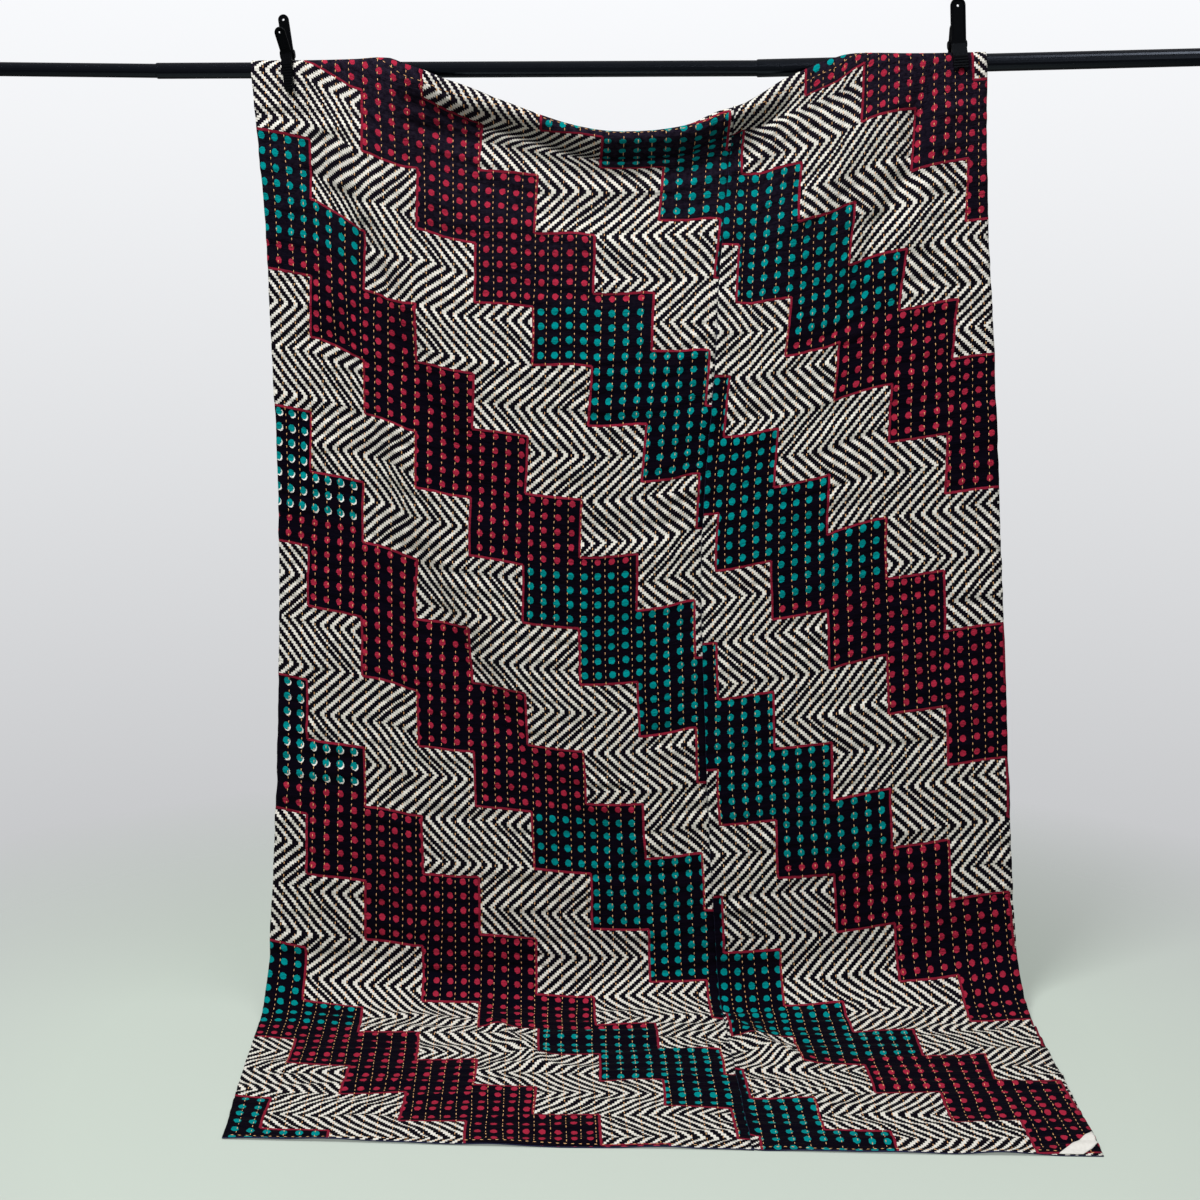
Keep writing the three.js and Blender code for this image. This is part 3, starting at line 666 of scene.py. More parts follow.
def relief(tree, height, strength, distance):
    """A Bump node's normal."""
    node = tree.nodes.new("ShaderNodeBump")
    node.inputs["Strength"].default_value = strength
    node.inputs["Distance"].default_value = distance
    put(tree, node.inputs["Height"], height)
    return node.outputs["Normal"]


def within_unit(tree, value):
    """A value kept between 0 and 1."""
    return calc(tree, "MINIMUM", calc(tree, "MAXIMUM", value, 0.0), 1.0)


def paint(red, green, blue):
    """A colour as seen on a screen, 0 to 255, as the linear colour that a shader takes."""
    shares = [value / 255 for value in (red, green, blue)]
    linear = [s / 12.92 if s <= 0.04045 else ((s + 0.055) / 1.055) ** 2.4 for s in shares]
    return (*linear, 1.0)


print("a mid grey in linear light:", round(paint(128, 128, 128)[0], 3))

# %% [markdown]
# ## The printed cloth
# The print could be painted as a picture, but a repeat this regular is better kept as a rule: a block
# is four columns wide, its dotted stretch is nine rows of every eighteen, and each block starts four
# rows below the one on its left. Between the dotted stretches run chevrons, three rows up and three
# down. All of it is worked out from the print map with Math nodes, so it stays sharp at any size.
# The dark ground and stripes are painted lighter toward the top edge, in streaks: a painted sheen.

# %% Colours and measures of the print
CREAM = paint(236, 233, 225)
CREAM_SHADE = paint(213, 209, 198)
STRIPE_DARK = paint(12, 9, 17)
GROUND_NAVY = paint(5, 7, 18)
GROUND_PLUM = paint(13, 5, 14)
# Painted sheen: a lighter dark, painted on the ground toward the top edge for the light from above
SHEEN_PLUM = paint(43, 36, 50)
DOT_RED = paint(186, 44, 68)
DOT_RED_WORN = paint(132, 30, 52)
DOT_TEAL = paint(0, 148, 148)
DOT_TEAL_WORN = paint(0, 116, 120)
OUTLINE_CRIMSON = paint(148, 34, 54)
OUTLINE_WORN = paint(106, 24, 42)
BLOCK_COLUMNS = 4
BAND_ROWS = 18
DOTTED_ROWS = 9
OUTLINE_HALF = 0.08
DOT_HALF_COLUMNS = 0.24
DOT_HALF_ROWS = 0.25
DOT_ROW_START = 0.36
RED_SMALLER = 0.18
CHEVRON_ROWS = 3
CHEVRON_START_ROW = 2
STRIPE_PITCH = 0.733
CREAM_SHARE = 0.385
THREAD_STEP = 0.15
SLIP = 0.075
SLIP_ROWS = (17.5, 46.5)
print(f"blocks {BLOCK_COLUMNS} columns wide, dotted for {DOTTED_ROWS} of every {BAND_ROWS} rows")

# %% Where each panel's print starts
# Where the dots and stripes start, the rows of red dots, and the last column where the teal print
# slipped and left a white rim
LEFT_CHART = {
    "dot_start": 2.52,
    "dot_pitch": 0.949,
    "stripe_start": 4.255,
    "red_from": 7,
    "red_to": 25,
    "slip_to": 8.2,
}
RIGHT_CHART = {
    "dot_start": 0.95,
    "dot_pitch": 0.947,
    "stripe_start": 4.15,
    "red_from": 12,
    "red_to": 60,
    "slip_to": -9,
}
print("stripes repeat every", STRIPE_PITCH, "columns, dots every", LEFT_CHART["dot_pitch"])


# %% The chart of the print as nodes
def is_dotted(tree, rows_down):
    """1 where this many rows below the first block's top lie in a dotted stretch."""
    in_band = calc(tree, "FLOORED_MODULO", rows_down, BAND_ROWS)
    return calc(tree, "LESS_THAN", in_band, DOTTED_ROWS)


def off_centre(tree, steps):
    """How far a count of steps lies from a whole one."""
    return calc(tree, "SUBTRACT", steps, calc(tree, "ROUND", steps))


def from_middle(tree, off_column, off_row):
    """How far a place lies from the middle of its dot, 1 at the dot's edge."""
    wide = calc(tree, "DIVIDE", off_column, DOT_HALF_COLUMNS)
    tall = calc(tree, "DIVIDE", off_row, DOT_HALF_ROWS)
    return calc(tree, "MULTIPLY_ADD", wide, wide, calc(tree, "MULTIPLY", tall, tall))


def between(tree, value, low, high):
    """1 where a value lies between two others."""
    above = calc(tree, "GREATER_THAN", value, low)
    return calc(tree, "MULTIPLY", above, calc(tree, "LESS_THAN", value, high))


def chart_masks(tree, column, row, chart):
    """Masks of the print by name, and how far each place lies from its dot and from that dot's rim."""
    block = calc(tree, "FLOOR", calc(tree, "DIVIDE", column, BLOCK_COLUMNS))
    stair = calc(tree, "MULTIPLY", block, BLOCK_COLUMNS)
    in_block = calc(tree, "SUBTRACT", column, stair)
    rows_down = calc(tree, "SUBTRACT", row, stair)
    in_band = calc(tree, "FLOORED_MODULO", rows_down, BAND_ROWS)
    dotted = is_dotted(tree, rows_down)

    to_row_edge = calc(tree, "PINGPONG", in_band, DOTTED_ROWS / 2)
    row_edge = calc(tree, "LESS_THAN", to_row_edge, OUTLINE_HALF)
    outline = row_edge
    near_left = calc(tree, "LESS_THAN", in_block, OUTLINE_HALF)
    near_right = calc(tree, "GREATER_THAN", in_block, BLOCK_COLUMNS - OUTLINE_HALF)
    for near, stair_step in ((near_left, BLOCK_COLUMNS), (near_right, -BLOCK_COLUMNS)):
        next_dotted = is_dotted(tree, calc(tree, "ADD", rows_down, stair_step))
        differs = calc(tree, "ABSOLUTE", calc(tree, "SUBTRACT", dotted, next_dotted))
        outline = calc(tree, "MAXIMUM", outline, calc(tree, "MULTIPLY", differs, near))

    dot_step = calc(tree, "DIVIDE", calc(tree, "SUBTRACT", column, chart["dot_start"]), chart["dot_pitch"])
    off_column = off_centre(tree, dot_step)
    off_row = off_centre(tree, calc(tree, "SUBTRACT", row, DOT_ROW_START))
    slipped = [calc(tree, "SUBTRACT", off, SLIP) for off in (off_column, off_row)]
    by_side = calc(tree, "LESS_THAN", column, chart["slip_to"])
    in_slip = calc(tree, "MULTIPLY", by_side, between(tree, row, *SLIP_ROWS))

    woven_column = calc(tree, "SNAP", column, THREAD_STEP)
    woven_row = calc(tree, "SNAP", row, THREAD_STEP)
    zigzag = calc(tree, "PINGPONG", calc(tree, "SUBTRACT", woven_row, CHEVRON_START_ROW), CHEVRON_ROWS)
    slid = calc(tree, "SUBTRACT", calc(tree, "SUBTRACT", woven_column, zigzag), chart["stripe_start"])
    stripe_step = calc(tree, "DIVIDE", slid, STRIPE_PITCH)
    stripe = calc(tree, "FRACT", calc(tree, "ADD", stripe_step, CREAM_SHARE / 2))

    colour_row = calc(tree, "ADD", in_band, stair)
    red = between(tree, colour_row, chart["red_from"], chart["red_to"])
    return {
        "dotted": dotted,
        "outline": outline,
        "cream": calc(tree, "LESS_THAN", stripe, CREAM_SHARE),
        "red": red,
        "white_rim": calc(tree, "MULTIPLY", in_slip, calc(tree, "SUBTRACT", 1.0, red)),
        "from_dot": from_middle(tree, off_column, off_row),
        "from_rim": from_middle(tree, *slipped),
    }


print("chevrons turn every", CHEVRON_ROWS, "rows")


# %% [markdown]
# Stitched cotton is dull, and between the rows of stitch it is finely wrinkled. The ridges of a few
# millimetres are in the mesh. What is smaller, the weave and the finest wrinkles, is a bump: it is
# seen only in the light, and as geometry it would need millions of faces.

# %% The surface of the cloth
WRINKLE_STRETCH = (0.4, 2.4, 1.0)
WEAVE_SCALE = 14.0
WEAVE_SHARE = 0.25
CLOTH_RELIEF = 0.005
CLOTH_ROUGHNESS = 0.8
CLOTH_SHINE = 0.02
CLOTH_SHEEN = 0.01
SHEEN_SPREAD = 0.5


def cloth_surface(tree, shader, place):
    """A dull cotton surface with its weave and fine wrinkles across the rows of stitch."""
    stretch = tree.nodes.new("ShaderNodeMapping")
    stretch.inputs["Scale"].default_value = WRINKLE_STRETCH
    put(tree, stretch.inputs["Vector"], place)
    wrinkles = mottle(tree, stretch.outputs["Vector"], 1.0, detail=3.0, roughness=0.6)
    weave = mottle(tree, place, WEAVE_SCALE)
    height = calc(tree, "MULTIPLY_ADD", weave, WEAVE_SHARE, wrinkles)
    put(tree, shader.inputs["Normal"], relief(tree, height, 1.0, CLOTH_RELIEF))
    shader.inputs["Roughness"].default_value = CLOTH_ROUGHNESS
    shader.inputs["Specular IOR Level"].default_value = CLOTH_SHINE
    shader.inputs["Sheen Weight"].default_value = CLOTH_SHEEN
    shader.inputs["Sheen Roughness"].default_value = SHEEN_SPREAD


def print_map_of(tree):
    """Columns and rows of the print, from the panel's own map."""
    print_map = tree.nodes.new("ShaderNodeUVMap")
    print_map.uv_map = PRINT_MAP
    return print_map.outputs["UV"]


print("cotton with a roughness of", CLOTH_ROUGHNESS)


# %% The printed face
WOBBLE_SCALE = 1.6
WOBBLE_REACH = 0.05
DYE_SCALE = 0.35
THREADS_SCALE = 9.0
WEAR_AND_SHEEN_SCALE = 3.0
RAGGED_EDGE = 1.0
# Painted sheen toward the top edge: the rows over which it goes, its streaks, and its share on dark stripes
SHEEN_ROWS = (-8, 18)
SHEEN_STREAKS = 2.4
SHEEN_ON_STRIPES = 0.5


def around_zero(tree, noise_value, reach):
    """Noise of 0 to 1 as a small shift to either side."""
    return calc(tree, "MULTIPLY", calc(tree, "SUBTRACT", noise_value, 0.5), reach)


def painted_sheen_share(tree, row, wear_and_sheen):
    """How much painted sheen lightens the dark dye: most along the top edge, and unevenly."""
    upward = calc(tree, "DIVIDE", calc(tree, "SUBTRACT", SHEEN_ROWS[1], row), SHEEN_ROWS[1] - SHEEN_ROWS[0])
    share = within_unit(tree, upward)
    streaks = calc(tree, "MULTIPLY_ADD", calc(tree, "SUBTRACT", wear_and_sheen, 0.5), SHEEN_STREAKS, 0.5)
    uneven = calc(tree, "MAXIMUM", streaks, 0.0)
    return calc(tree, "MULTIPLY", calc(tree, "MULTIPLY", share, share), uneven)


def printed_cloth(name, chart):
    """The front of a panel: dotted blocks, crimson outlines and cream chevrons."""
    material, tree, shader = new_material(name)
    place = print_map_of(tree)
    split = tree.nodes.new("ShaderNodeSeparateXYZ")
    put(tree, split.inputs[0], place)
    wobble = around_zero(tree, mottle(tree, place, WOBBLE_SCALE), WOBBLE_REACH)
    column = calc(tree, "ADD", split.outputs["X"], wobble)
    row = calc(tree, "ADD", split.outputs["Y"], wobble)
    masks = chart_masks(tree, column, row, chart)

    dye = mottle(tree, place, DYE_SCALE, detail=3.0)
    threads = mottle(tree, place, THREADS_SCALE, detail=1.0)
    wear_and_sheen = mottle(tree, place, WEAR_AND_SHEEN_SCALE, detail=3.0, roughness=0.7)
    # Painted sheen: the dark ground is lightened toward the top edge, in streaks
    painted_sheen = painted_sheen_share(tree, row, wear_and_sheen)
    ground = mix(tree, painted_sheen, mix(tree, dye, GROUND_NAVY, GROUND_PLUM), SHEEN_PLUM)
    teal = mix(tree, wear_and_sheen, DOT_TEAL, DOT_TEAL_WORN)
    dot_colour = mix(tree, masks["red"], teal, mix(tree, wear_and_sheen, DOT_RED, DOT_RED_WORN))
    ragged = around_zero(tree, threads, RAGGED_EDGE)
    dot_reach = calc(tree, "MULTIPLY_ADD", masks["red"], -RED_SMALLER, 1.0)
    dot = calc(tree, "LESS_THAN", calc(tree, "ADD", masks["from_dot"], ragged), dot_reach)
    rim = calc(tree, "LESS_THAN", calc(tree, "ADD", masks["from_rim"], ragged), 1.0)
    rimmed = mix(tree, calc(tree, "MULTIPLY", rim, masks["white_rim"]), ground, CREAM)
    dotted_cloth = mix(tree, dot, rimmed, dot_colour)
    # The dark stripes take a share of the same painted sheen
    stripe_dark = mix(tree, calc(tree, "MULTIPLY", painted_sheen, SHEEN_ON_STRIPES), STRIPE_DARK, SHEEN_PLUM)
    stripes = mix(tree, masks["cream"], stripe_dark, mix(tree, threads, CREAM, CREAM_SHADE))
    field = mix(tree, masks["dotted"], stripes, dotted_cloth)
    crimson = mix(tree, wear_and_sheen, OUTLINE_CRIMSON, OUTLINE_WORN)
    put(tree, shader.inputs["Base Color"], mix(tree, masks["outline"], field, crimson))
    cloth_surface(tree, shader, place)
    return material


# %% The plain back, and a print for each panel
BACK_INDIGO = paint(36, 40, 66)
BACK_WORN = paint(52, 54, 80)
BACK_DYE_SCALE = 0.5
plain_back, back_tree, back_shader = new_material("plain_back_cloth")
back_place = print_map_of(back_tree)
back_dye = mottle(back_tree, back_place, BACK_DYE_SCALE, detail=3.0)
put(back_tree, back_shader.inputs["Base Color"], mix(back_tree, back_dye, BACK_INDIGO, BACK_WORN))
cloth_surface(back_tree, back_shader, back_place)

for panel, chart in ((left_panel, LEFT_CHART), (right_panel, RIGHT_CHART)):
    panel.data.materials.append(printed_cloth("printed_" + panel.name, chart))
    panel.data.materials.append(plain_back)
    print(panel.name, "has", len(panel.data.materials[0].node_tree.nodes), "nodes in its print")

# %% [markdown]
# ## The running stitch
# Kantha is running stitch: a thread goes down through the layers and up again, so each row shows as
# dashes on the front, and as the dashes between them on the back. One stitch is a small bead. Two
# Array modifiers set it out in the flat as all the rows of a panel, and the whole is then laid on the
# hung cloth, so each dash follows the folds.

# %% One stitch, and many of it set out in the flat
STITCH_LENGTH = 0.0055
STITCH_WIDTH = 0.0013
STITCH_HEIGHT = 0.0011
STITCH_PITCH = 0.0104
ROW_PITCH = 0.0216
ROW_WANDER = 0.004
ROW_WANDER_LENGTH = 0.35
ROW_WANDER_STEP = 0.37
WANDER_NOISE = 4.0
EDGE_MARGIN = 0.008


def one_stitch(name, wide, long):
    """A bead of thread on the flat cloth, so wide across it and so long down it."""
    bead = bmesh.new()
    size = Matrix.Diagonal((wide, long, STITCH_HEIGHT, 1))
    bmesh.ops.create_icosphere(bead, subdivisions=1, radius=0.5, matrix=size)
    return piece_from(name, bead)


def repeat(piece, count, step):
    """An Array modifier with a plain step."""
    array = piece.modifiers.new("rows", "ARRAY")
    array.count = count
    array.use_relative_offset = False
    array.use_constant_offset = True
    array.constant_offset_displace = step


def set_out(piece):
    """Make the repeats of a stitch one mesh, and give its places in the flat."""
    name = piece.name
    lone_mesh = piece.data
    repeated = piece.evaluated_get(bpy.context.evaluated_depsgraph_get())
    flat_mesh = bpy.data.meshes.new_from_object(repeated)
    piece.modifiers.clear()
    piece.data = flat_mesh
    bpy.data.meshes.remove(lone_mesh)
    flat_mesh.name = name
    flat = np.empty(len(flat_mesh.vertices) * 3)
    flat_mesh.vertices.foreach_get("co", flat)
    return flat.reshape(-1, 3)


def fasten(piece, across, down, height):
    """Lay a mesh that was set out in the flat on the hung cloth, and no lower than the floor."""
    places = lay(across, np.clip(down, 0, QUILT_LENGTH), height)
    places[:, 2] = np.maximum(places[:, 2], 0)
    piece.data.vertices.foreach_set("co", places.ravel())
    piece.data.update()
    print(piece.name, len(piece.data.polygons), "faces")


# %% Sew the rows of the two panels, front and back
FRONT = 1
BACK = -1


def sew_rows(name, from_u, to_u, side):
    """All the rows of running stitch between two places of the width, on one side of the cloth."""
    rows = int((to_u - from_u) / ROW_PITCH)
    count = int((QUILT_LENGTH - 2 * EDGE_MARGIN) / STITCH_PITCH)
    piece = one_stitch(name, STITCH_WIDTH, STITCH_LENGTH)
    repeat(piece, count, (0, STITCH_PITCH, 0))
    repeat(piece, rows, (ROW_PITCH, 0, 0))
    flat = set_out(piece)
    row_index = np.round(flat[:, 0] / ROW_PITCH)
    start = EDGE_MARGIN + STITCH_PITCH * (0.5 if side == FRONT else 1.0)
    down = start + flat[:, 1] + 0.5 * STITCH_PITCH * (row_index % 2)
    spots = zip((row_index + from_u) * ROW_WANDER_STEP, down / ROW_WANDER_LENGTH)
    wander = np.array([noise.noise((k, v, WANDER_NOISE)) for k, v in spots])
    first_row = from_u + ((to_u - from_u) - (rows - 1) * ROW_PITCH) / 2
    across = (first_row + flat[:, 0] + ROW_WANDER * wander) / QUILT_WIDTH
    fasten(piece, across, down, side * QUILT_THICK / 2 + flat[:, 2])
    return piece


seam_u = SEAM_ACROSS * QUILT_WIDTH
left_stitches = [
    sew_rows("left_panel_stitches", 0.0, seam_u, FRONT),
    sew_rows("left_panel_back_stitches", 0.0, seam_u, BACK),
]
right_stitches = [
    sew_rows("right_panel_stitches", seam_u, QUILT_WIDTH, FRONT),
    sew_rows("right_panel_back_stitches", seam_u, QUILT_WIDTH, BACK),
]

# %% [markdown]
# The top and bottom hems are turned once and held by a row of the same stitch, which runs along the
# edge instead of down the cloth. It is the same bead, turned, so the same helpers set it out.


# %% Sew the hems
def sew_hem(name, from_u, to_u, down):
    """A row of stitches along the width, at one length down the cloth."""
    piece = one_stitch(name, STITCH_LENGTH, STITCH_WIDTH)
    count = int((to_u - from_u - 2 * EDGE_MARGIN) / STITCH_PITCH)
    repeat(piece, count, (STITCH_PITCH, 0, 0))
    flat = set_out(piece)
    across = (from_u + EDGE_MARGIN + STITCH_PITCH / 2 + flat[:, 0]) / QUILT_WIDTH
    fasten(piece, across, down + flat[:, 1], QUILT_THICK / 2 + flat[:, 2])
    return piece


TOP_HEM = 0.02
for edge, hem_down in (("top", TOP_HEM), ("bottom", QUILT_LENGTH - EDGE_MARGIN)):
    left_stitches.append(sew_hem(f"left_panel_{edge}_hem", 0.0, seam_u, hem_down))
    right_stitches.append(sew_hem(f"right_panel_{edge}_hem", seam_u, QUILT_WIDTH, hem_down))

# %% [markdown]
# The thread is a thick tan cotton, paler in some lengths than in others. One material does for all the
# stitches, with its tone from a noise in the piece's own coordinates.

# %% The thread
THREAD_TAN = paint(230, 158, 90)
THREAD_PALE = paint(248, 204, 150)
THREAD_GRAIN = 30.0
thread, thread_tree, thread_shader = new_material("tan_thread")
thread_tone = mottle(thread_tree, object_place(thread_tree), THREAD_GRAIN)
thread_colour = mix(thread_tree, thread_tone, THREAD_TAN, THREAD_PALE)
put(thread_tree, thread_shader.inputs["Base Color"], thread_colour)
thread_shader.inputs["Roughness"].default_value = CLOTH_ROUGHNESS
for piece in left_stitches + right_stitches:
    piece.data.materials.clear()
    piece.data.materials.append(thread)
print(len(left_stitches + right_stitches), "pieces of sewing in", thread.name)

# %% [markdown]
# ## The bar and the clamps
# The tubes are steel with a satin black paint, which shows a soft line of light along the top. The
# clamps are moulded nylon, a little duller, and their springs are bright steel. Their shapes are
# right as they come, so each only gets a finish.


# %% Finishes of the bar and the clamps
GLOSS_VARIES = 0.12
FINER_GRAIN = 6
FINISH_RELIEF = 0.0004


def finish_for(name, colours, roughness, metallic, shine, grain, unevenness):
    """A finish uneven in tone, gloss and surface. Its colours are a dark, a light and the gloss's own."""
    dark, light, gloss_colour = colours
    material, tree, shader = new_material(name)
    place = object_place(tree)
    tone = mottle(tree, place, grain, detail=4.0)
    put(tree, shader.inputs["Base Color"], mix(tree, tone, dark, light))
    gloss = calc(tree, "ADD", calc(tree, "MULTIPLY", tone, GLOSS_VARIES), roughness - GLOSS_VARIES / 2)
    put(tree, shader.inputs["Roughness"], gloss)
    pitting = mottle(tree, place, grain * FINER_GRAIN)
    put(tree, shader.inputs["Normal"], relief(tree, pitting, unevenness, FINISH_RELIEF))
    shader.inputs["Metallic"].default_value = metallic
    shader.inputs["Specular IOR Level"].default_value = shine
    shader.inputs["Specular Tint"].default_value = gloss_colour
    return material


PAINT_BLACK = (paint(3, 4, 7), paint(7, 8, 12), paint(215, 230, 255))
NYLON_BLACK = (paint(3, 3, 4), paint(7, 7, 8), paint(215, 232, 255))
STEEL_GREY = (paint(150, 152, 156), paint(190, 192, 196), paint(255, 255, 255))
satin_black = finish_for(
    "satin_black_paint", PAINT_BLACK, roughness=0.26, metallic=0.0, shine=0.4, grain=60.0, unevenness=0.01
)
moulded_nylon = finish_for(
    "moulded_black_nylon", NYLON_BLACK, roughness=0.4, metallic=0.0, shine=0.1, grain=160.0, unevenness=0.04
)
spring_steel = finish_for(
    "bright_spring_steel", STEEL_GREY, roughness=0.3, metallic=1.0, shine=0.5, grain=120.0, unevenness=0.03
)
FINISHES = (("bar", satin_black), ("clamp", moulded_nylon), ("clamp_spring", spring_steel))
for words, material in FINISHES:
    for name, solid in nodes.items():
        if words in name:
            solid.data.materials.clear()
            solid.data.materials.append(material)
            print(name, "is", material.name)

# %% [markdown]
# ## The corner tape
# A bare white tape is sewn across the lower right corner. It is a small piece of cloth of its own, so
# it is cut flat like the panels and laid on them.

# %% Cut the tape and lay it on the corner
TAPE_NEAR = 0.028
TAPE_FAR = 0.062
TAPE_INSET = 0.0015
TAPE_THICK = 0.0008
TAPE_HEIGHT = 0.0022
TAPE_STEPS = (18, 8)


def cut_tape(name):
    """A flat strip between four places near the corner, laid on the cloth."""
    strip = bmesh.new()
    bmesh.ops.create_grid(strip, x_segments=TAPE_STEPS[0], y_segments=TAPE_STEPS[1], size=0.5)
    flat = np.array([vertex.co for vertex in strip.verts])
    share = flat[:, 0] + 0.5
    reach = TAPE_NEAR + (TAPE_FAR - TAPE_NEAR) * (flat[:, 1] + 0.5)
    from_side = TAPE_INSET + (reach - TAPE_INSET) * share
    from_hem = TAPE_INSET + (reach - TAPE_INSET) * (1 - share)
    places = lay(1 - from_side / QUILT_WIDTH, QUILT_LENGTH - from_hem, np.full(len(flat), TAPE_HEIGHT))
    for vertex, place in zip(strip.verts, places):
        vertex.co = place
    piece = piece_from(name, strip)
    thicken(piece, TAPE_THICK)
    return piece


tape = cut_tape("corner_tape")
print("tape", len(tape.data.polygons), "quads")

# %% The tape's finish
TAPE_WHITE = paint(236, 234, 228)
TAPE_SHADE = paint(214, 211, 203)
TAPE_GRAIN = 220.0
TAPE_UNEVEN = 0.3
TAPE_RELIEF = 0.0005
TAPE_ROUGHNESS = 0.85
tape_cloth, tape_tree, tape_shader = new_material("white_tape")
tape_tone = mottle(tape_tree, object_place(tape_tree), TAPE_GRAIN)
put(tape_tree, tape_shader.inputs["Base Color"], mix(tape_tree, tape_tone, TAPE_WHITE, TAPE_SHADE))
put(tape_tree, tape_shader.inputs["Normal"], relief(tape_tree, tape_tone, TAPE_UNEVEN, TAPE_RELIEF))
tape_shader.inputs["Roughness"].default_value = TAPE_ROUGHNESS
tape.data.materials.append(tape_cloth)
print("the tape is", tape_cloth.name)

# %% [markdown]
# ## What belongs to what
# Everything rides on the one body. The two panels and the tape stand for their plain solids, which
# are hidden.

# %% Hang the pieces on the one body and hide their plain solids
PANEL_CUTS = (
    (left_panel, "quilt_left_panel", seam_u, "bar_middle_tube", left_stitches),
    (right_panel, "quilt_right_panel", QUILT_WIDTH - seam_u, "bar_right_tube", right_stitches),
)
for panel, solid, width, tube, sewing in PANEL_CUTS:
    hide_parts(solid)
    for piece in (panel, *sewing):
        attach(piece, "root")
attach(tape, "root")
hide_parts("corner_label")

# %% [markdown]
# ## The floor
# The quilt ends on a plain pale floor. The floor fades out with distance, so no line is left between
# it and the wall behind. A share of its brightness is its own, as on a lit backdrop, so shadows on it
# stay soft. It is part of the stage and not of the quilt.

# %% A plain pale floor
FLOOR_SIZE = 8.0
FLOOR_SOLID = 0.8
FLOOR_CLEAR = 1.8
FLOOR_SAGE = paint(200, 210, 200)
FLOOR_OWN_LIGHT = 0.4
FLOOR_ROUGHNESS = 0.7
FLOOR_SHINE = 0.2
floor_grid = bmesh.new()
bmesh.ops.create_grid(floor_grid, x_segments=1, y_segments=1, size=FLOOR_SIZE / 2)
pale_floor = piece_from("pale_floor", floor_grid)
print("floor", FLOOR_SIZE, "m wide")

# %% The floor's finish
floor_paint, floor_tree, floor_shader = new_material("pale_floor_paint")
floor_reach = floor_tree.nodes.new("ShaderNodeVectorMath")
floor_reach.operation = "LENGTH"
put(floor_tree, floor_reach.inputs[0], object_place(floor_tree))
floor_past = calc(floor_tree, "SUBTRACT", floor_reach.outputs["Value"], FLOOR_SOLID)
floor_fade = within_unit(floor_tree, calc(floor_tree, "DIVIDE", floor_past, FLOOR_CLEAR - FLOOR_SOLID))
floor_shader.inputs["Base Color"].default_value = [(1 - FLOOR_OWN_LIGHT) * shade for shade in FLOOR_SAGE]
floor_shader.inputs["Emission Color"].default_value = FLOOR_SAGE
floor_shader.inputs["Emission Strength"].default_value = FLOOR_OWN_LIGHT
floor_shader.inputs["Roughness"].default_value = FLOOR_ROUGHNESS
floor_shader.inputs["Specular IOR Level"].default_value = FLOOR_SHINE
floor_gone = floor_tree.nodes.new("ShaderNodeBsdfTransparent")
floor_mix = floor_tree.nodes.new("ShaderNodeMixShader")
put(floor_tree, floor_mix.inputs[0], floor_fade)
put(floor_tree, floor_mix.inputs[1], floor_shader.outputs[0])
put(floor_tree, floor_mix.inputs[2], floor_gone.outputs[0])
put(floor_tree, floor_tree.nodes["Material Output"].inputs["Surface"], floor_mix.outputs[0])
pale_floor.data.materials.append(floor_paint)
print("the floor is gone", FLOOR_CLEAR, "m from its middle")

# %% [markdown]
# ## Light and camera
# The quilt was photographed from the front, from a little above its middle, in soft daylight from the
# upper left. One large soft lamp gives the direction, and is kept out of reflections, because the bar
# is dull on that side. A long strip overhead draws the light along the right half of the bar, and a
# weak lamp on the right fills the shade.

# %% Lamps: place, size in metres and power in watts
MIDDLE = Vector((0.0, 0.2, 0.8))
LAMPS = (
    ("window_light", (-1.8, -2.0, 4.3), (1.7, 1.7), 205.0),
    ("ceiling_strip", (1.6, -0.9, 3.2), (3.2, 0.25), 26.0),
    ("fill_light", (2.6, -2.6, 1.6), (2.4, 2.4), 10.0),
)
for name, place, size, power in LAMPS:
    lamp = bpy.data.lights.new(name, "AREA")
    lamp.shape = "RECTANGLE"
    lamp.size, lamp.size_y = size
    lamp.energy = power
    holder = bpy.data.objects.new(name, lamp)
    holder.location = place
    holder.rotation_euler = (MIDDLE - holder.location).to_track_quat("-Z", "Y").to_euler()
    holder.visible_glossy = name != "window_light"
    bpy.context.collection.objects.link(holder)
    print(name, power, "W")

# %% [markdown]
# The world gives more light from above than from below, which keeps the hollow under the sagging edge
# dark. The camera sees a pale wall instead of that world, a little brighter toward its top.

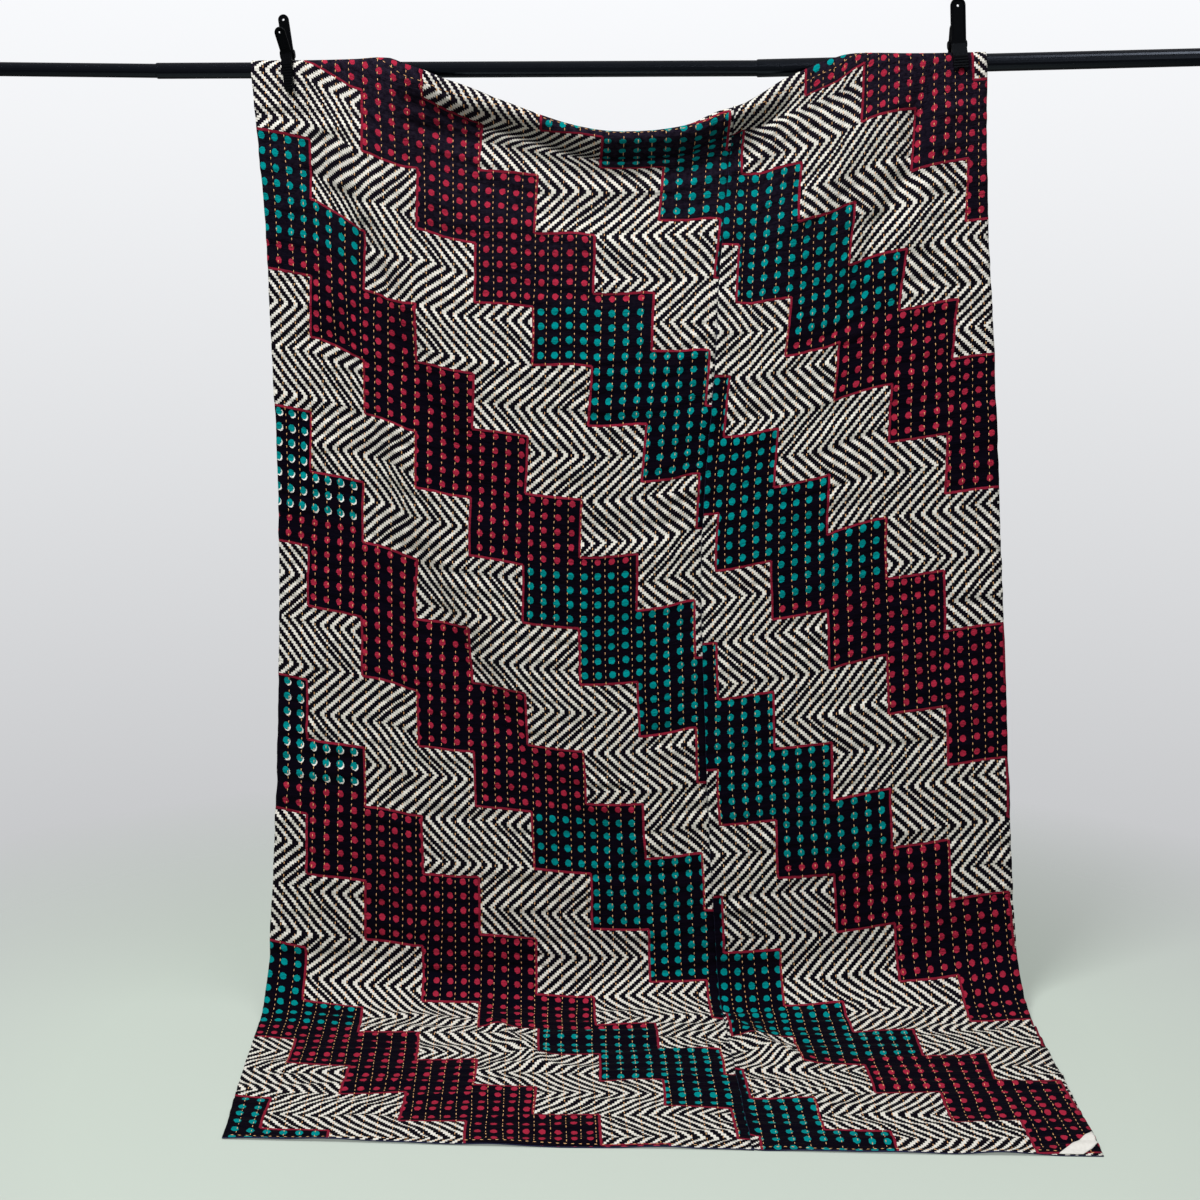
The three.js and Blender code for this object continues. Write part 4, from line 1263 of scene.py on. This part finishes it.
# %% The world and the wall
ROOM_SHADE = (0.86, 0.87, 0.89, 1.0)
LIGHT_FROM_ABOVE = 0.36
LIGHT_FROM_BELOW = 0.03
WALL_LIGHT = 0.91
WALL_BRIGHTENS = 0.9
WALL_DIMMEST = 0.62
world = bpy.data.worlds.new("pale_room")
world.use_nodes = True
sky = world.node_tree
room = sky.nodes["Background"]
room.inputs["Color"].default_value = ROOM_SHADE
looking = sky.nodes.new("ShaderNodeSeparateXYZ")
put(sky, looking.inputs[0], sky.nodes.new("ShaderNodeTexCoord").outputs["Generated"])
upward = calc(sky, "MULTIPLY_ADD", looking.outputs["Z"], 0.5, 0.5)
room_light = calc(sky, "MULTIPLY_ADD", upward, LIGHT_FROM_ABOVE - LIGHT_FROM_BELOW, LIGHT_FROM_BELOW)
seen = sky.nodes.new("ShaderNodeLightPath").outputs["Is Camera Ray"]
wall_rise = calc(sky, "MULTIPLY_ADD", looking.outputs["Z"], WALL_BRIGHTENS, WALL_LIGHT)
wall_light = calc(sky, "MAXIMUM", wall_rise, WALL_DIMMEST)
past_room = calc(sky, "MULTIPLY", seen, calc(sky, "SUBTRACT", wall_light, room_light))
put(sky, room.inputs["Strength"], calc(sky, "ADD", room_light, past_room))
bpy.context.scene.world = world
bpy.context.scene.view_settings.view_transform = "Standard"
print("light from above", LIGHT_FROM_ABOVE, "and from below", LIGHT_FROM_BELOW)

# %% The camera where the photograph was taken
CAMERA_PLACE = (0.0, -2.3644, 1.04)
CAMERA_TILT = 82
LENS = 48.0
SENSOR = 36.0
camera_data = bpy.data.cameras.new("front_view")
camera_data.lens = LENS
camera_data.sensor_width = SENSOR
camera = bpy.data.objects.new("front_view", camera_data)
camera.location = CAMERA_PLACE
camera.rotation_euler = (math.radians(CAMERA_TILT), 0, 0)
bpy.context.collection.objects.link(camera)
bpy.context.scene.camera = camera
print("camera", 90 - CAMERA_TILT, "degrees below level")

# %% [markdown]
# ## Last, the scene is brought up to date

# %% Bring the scene up to date
bpy.context.view_layer.update()
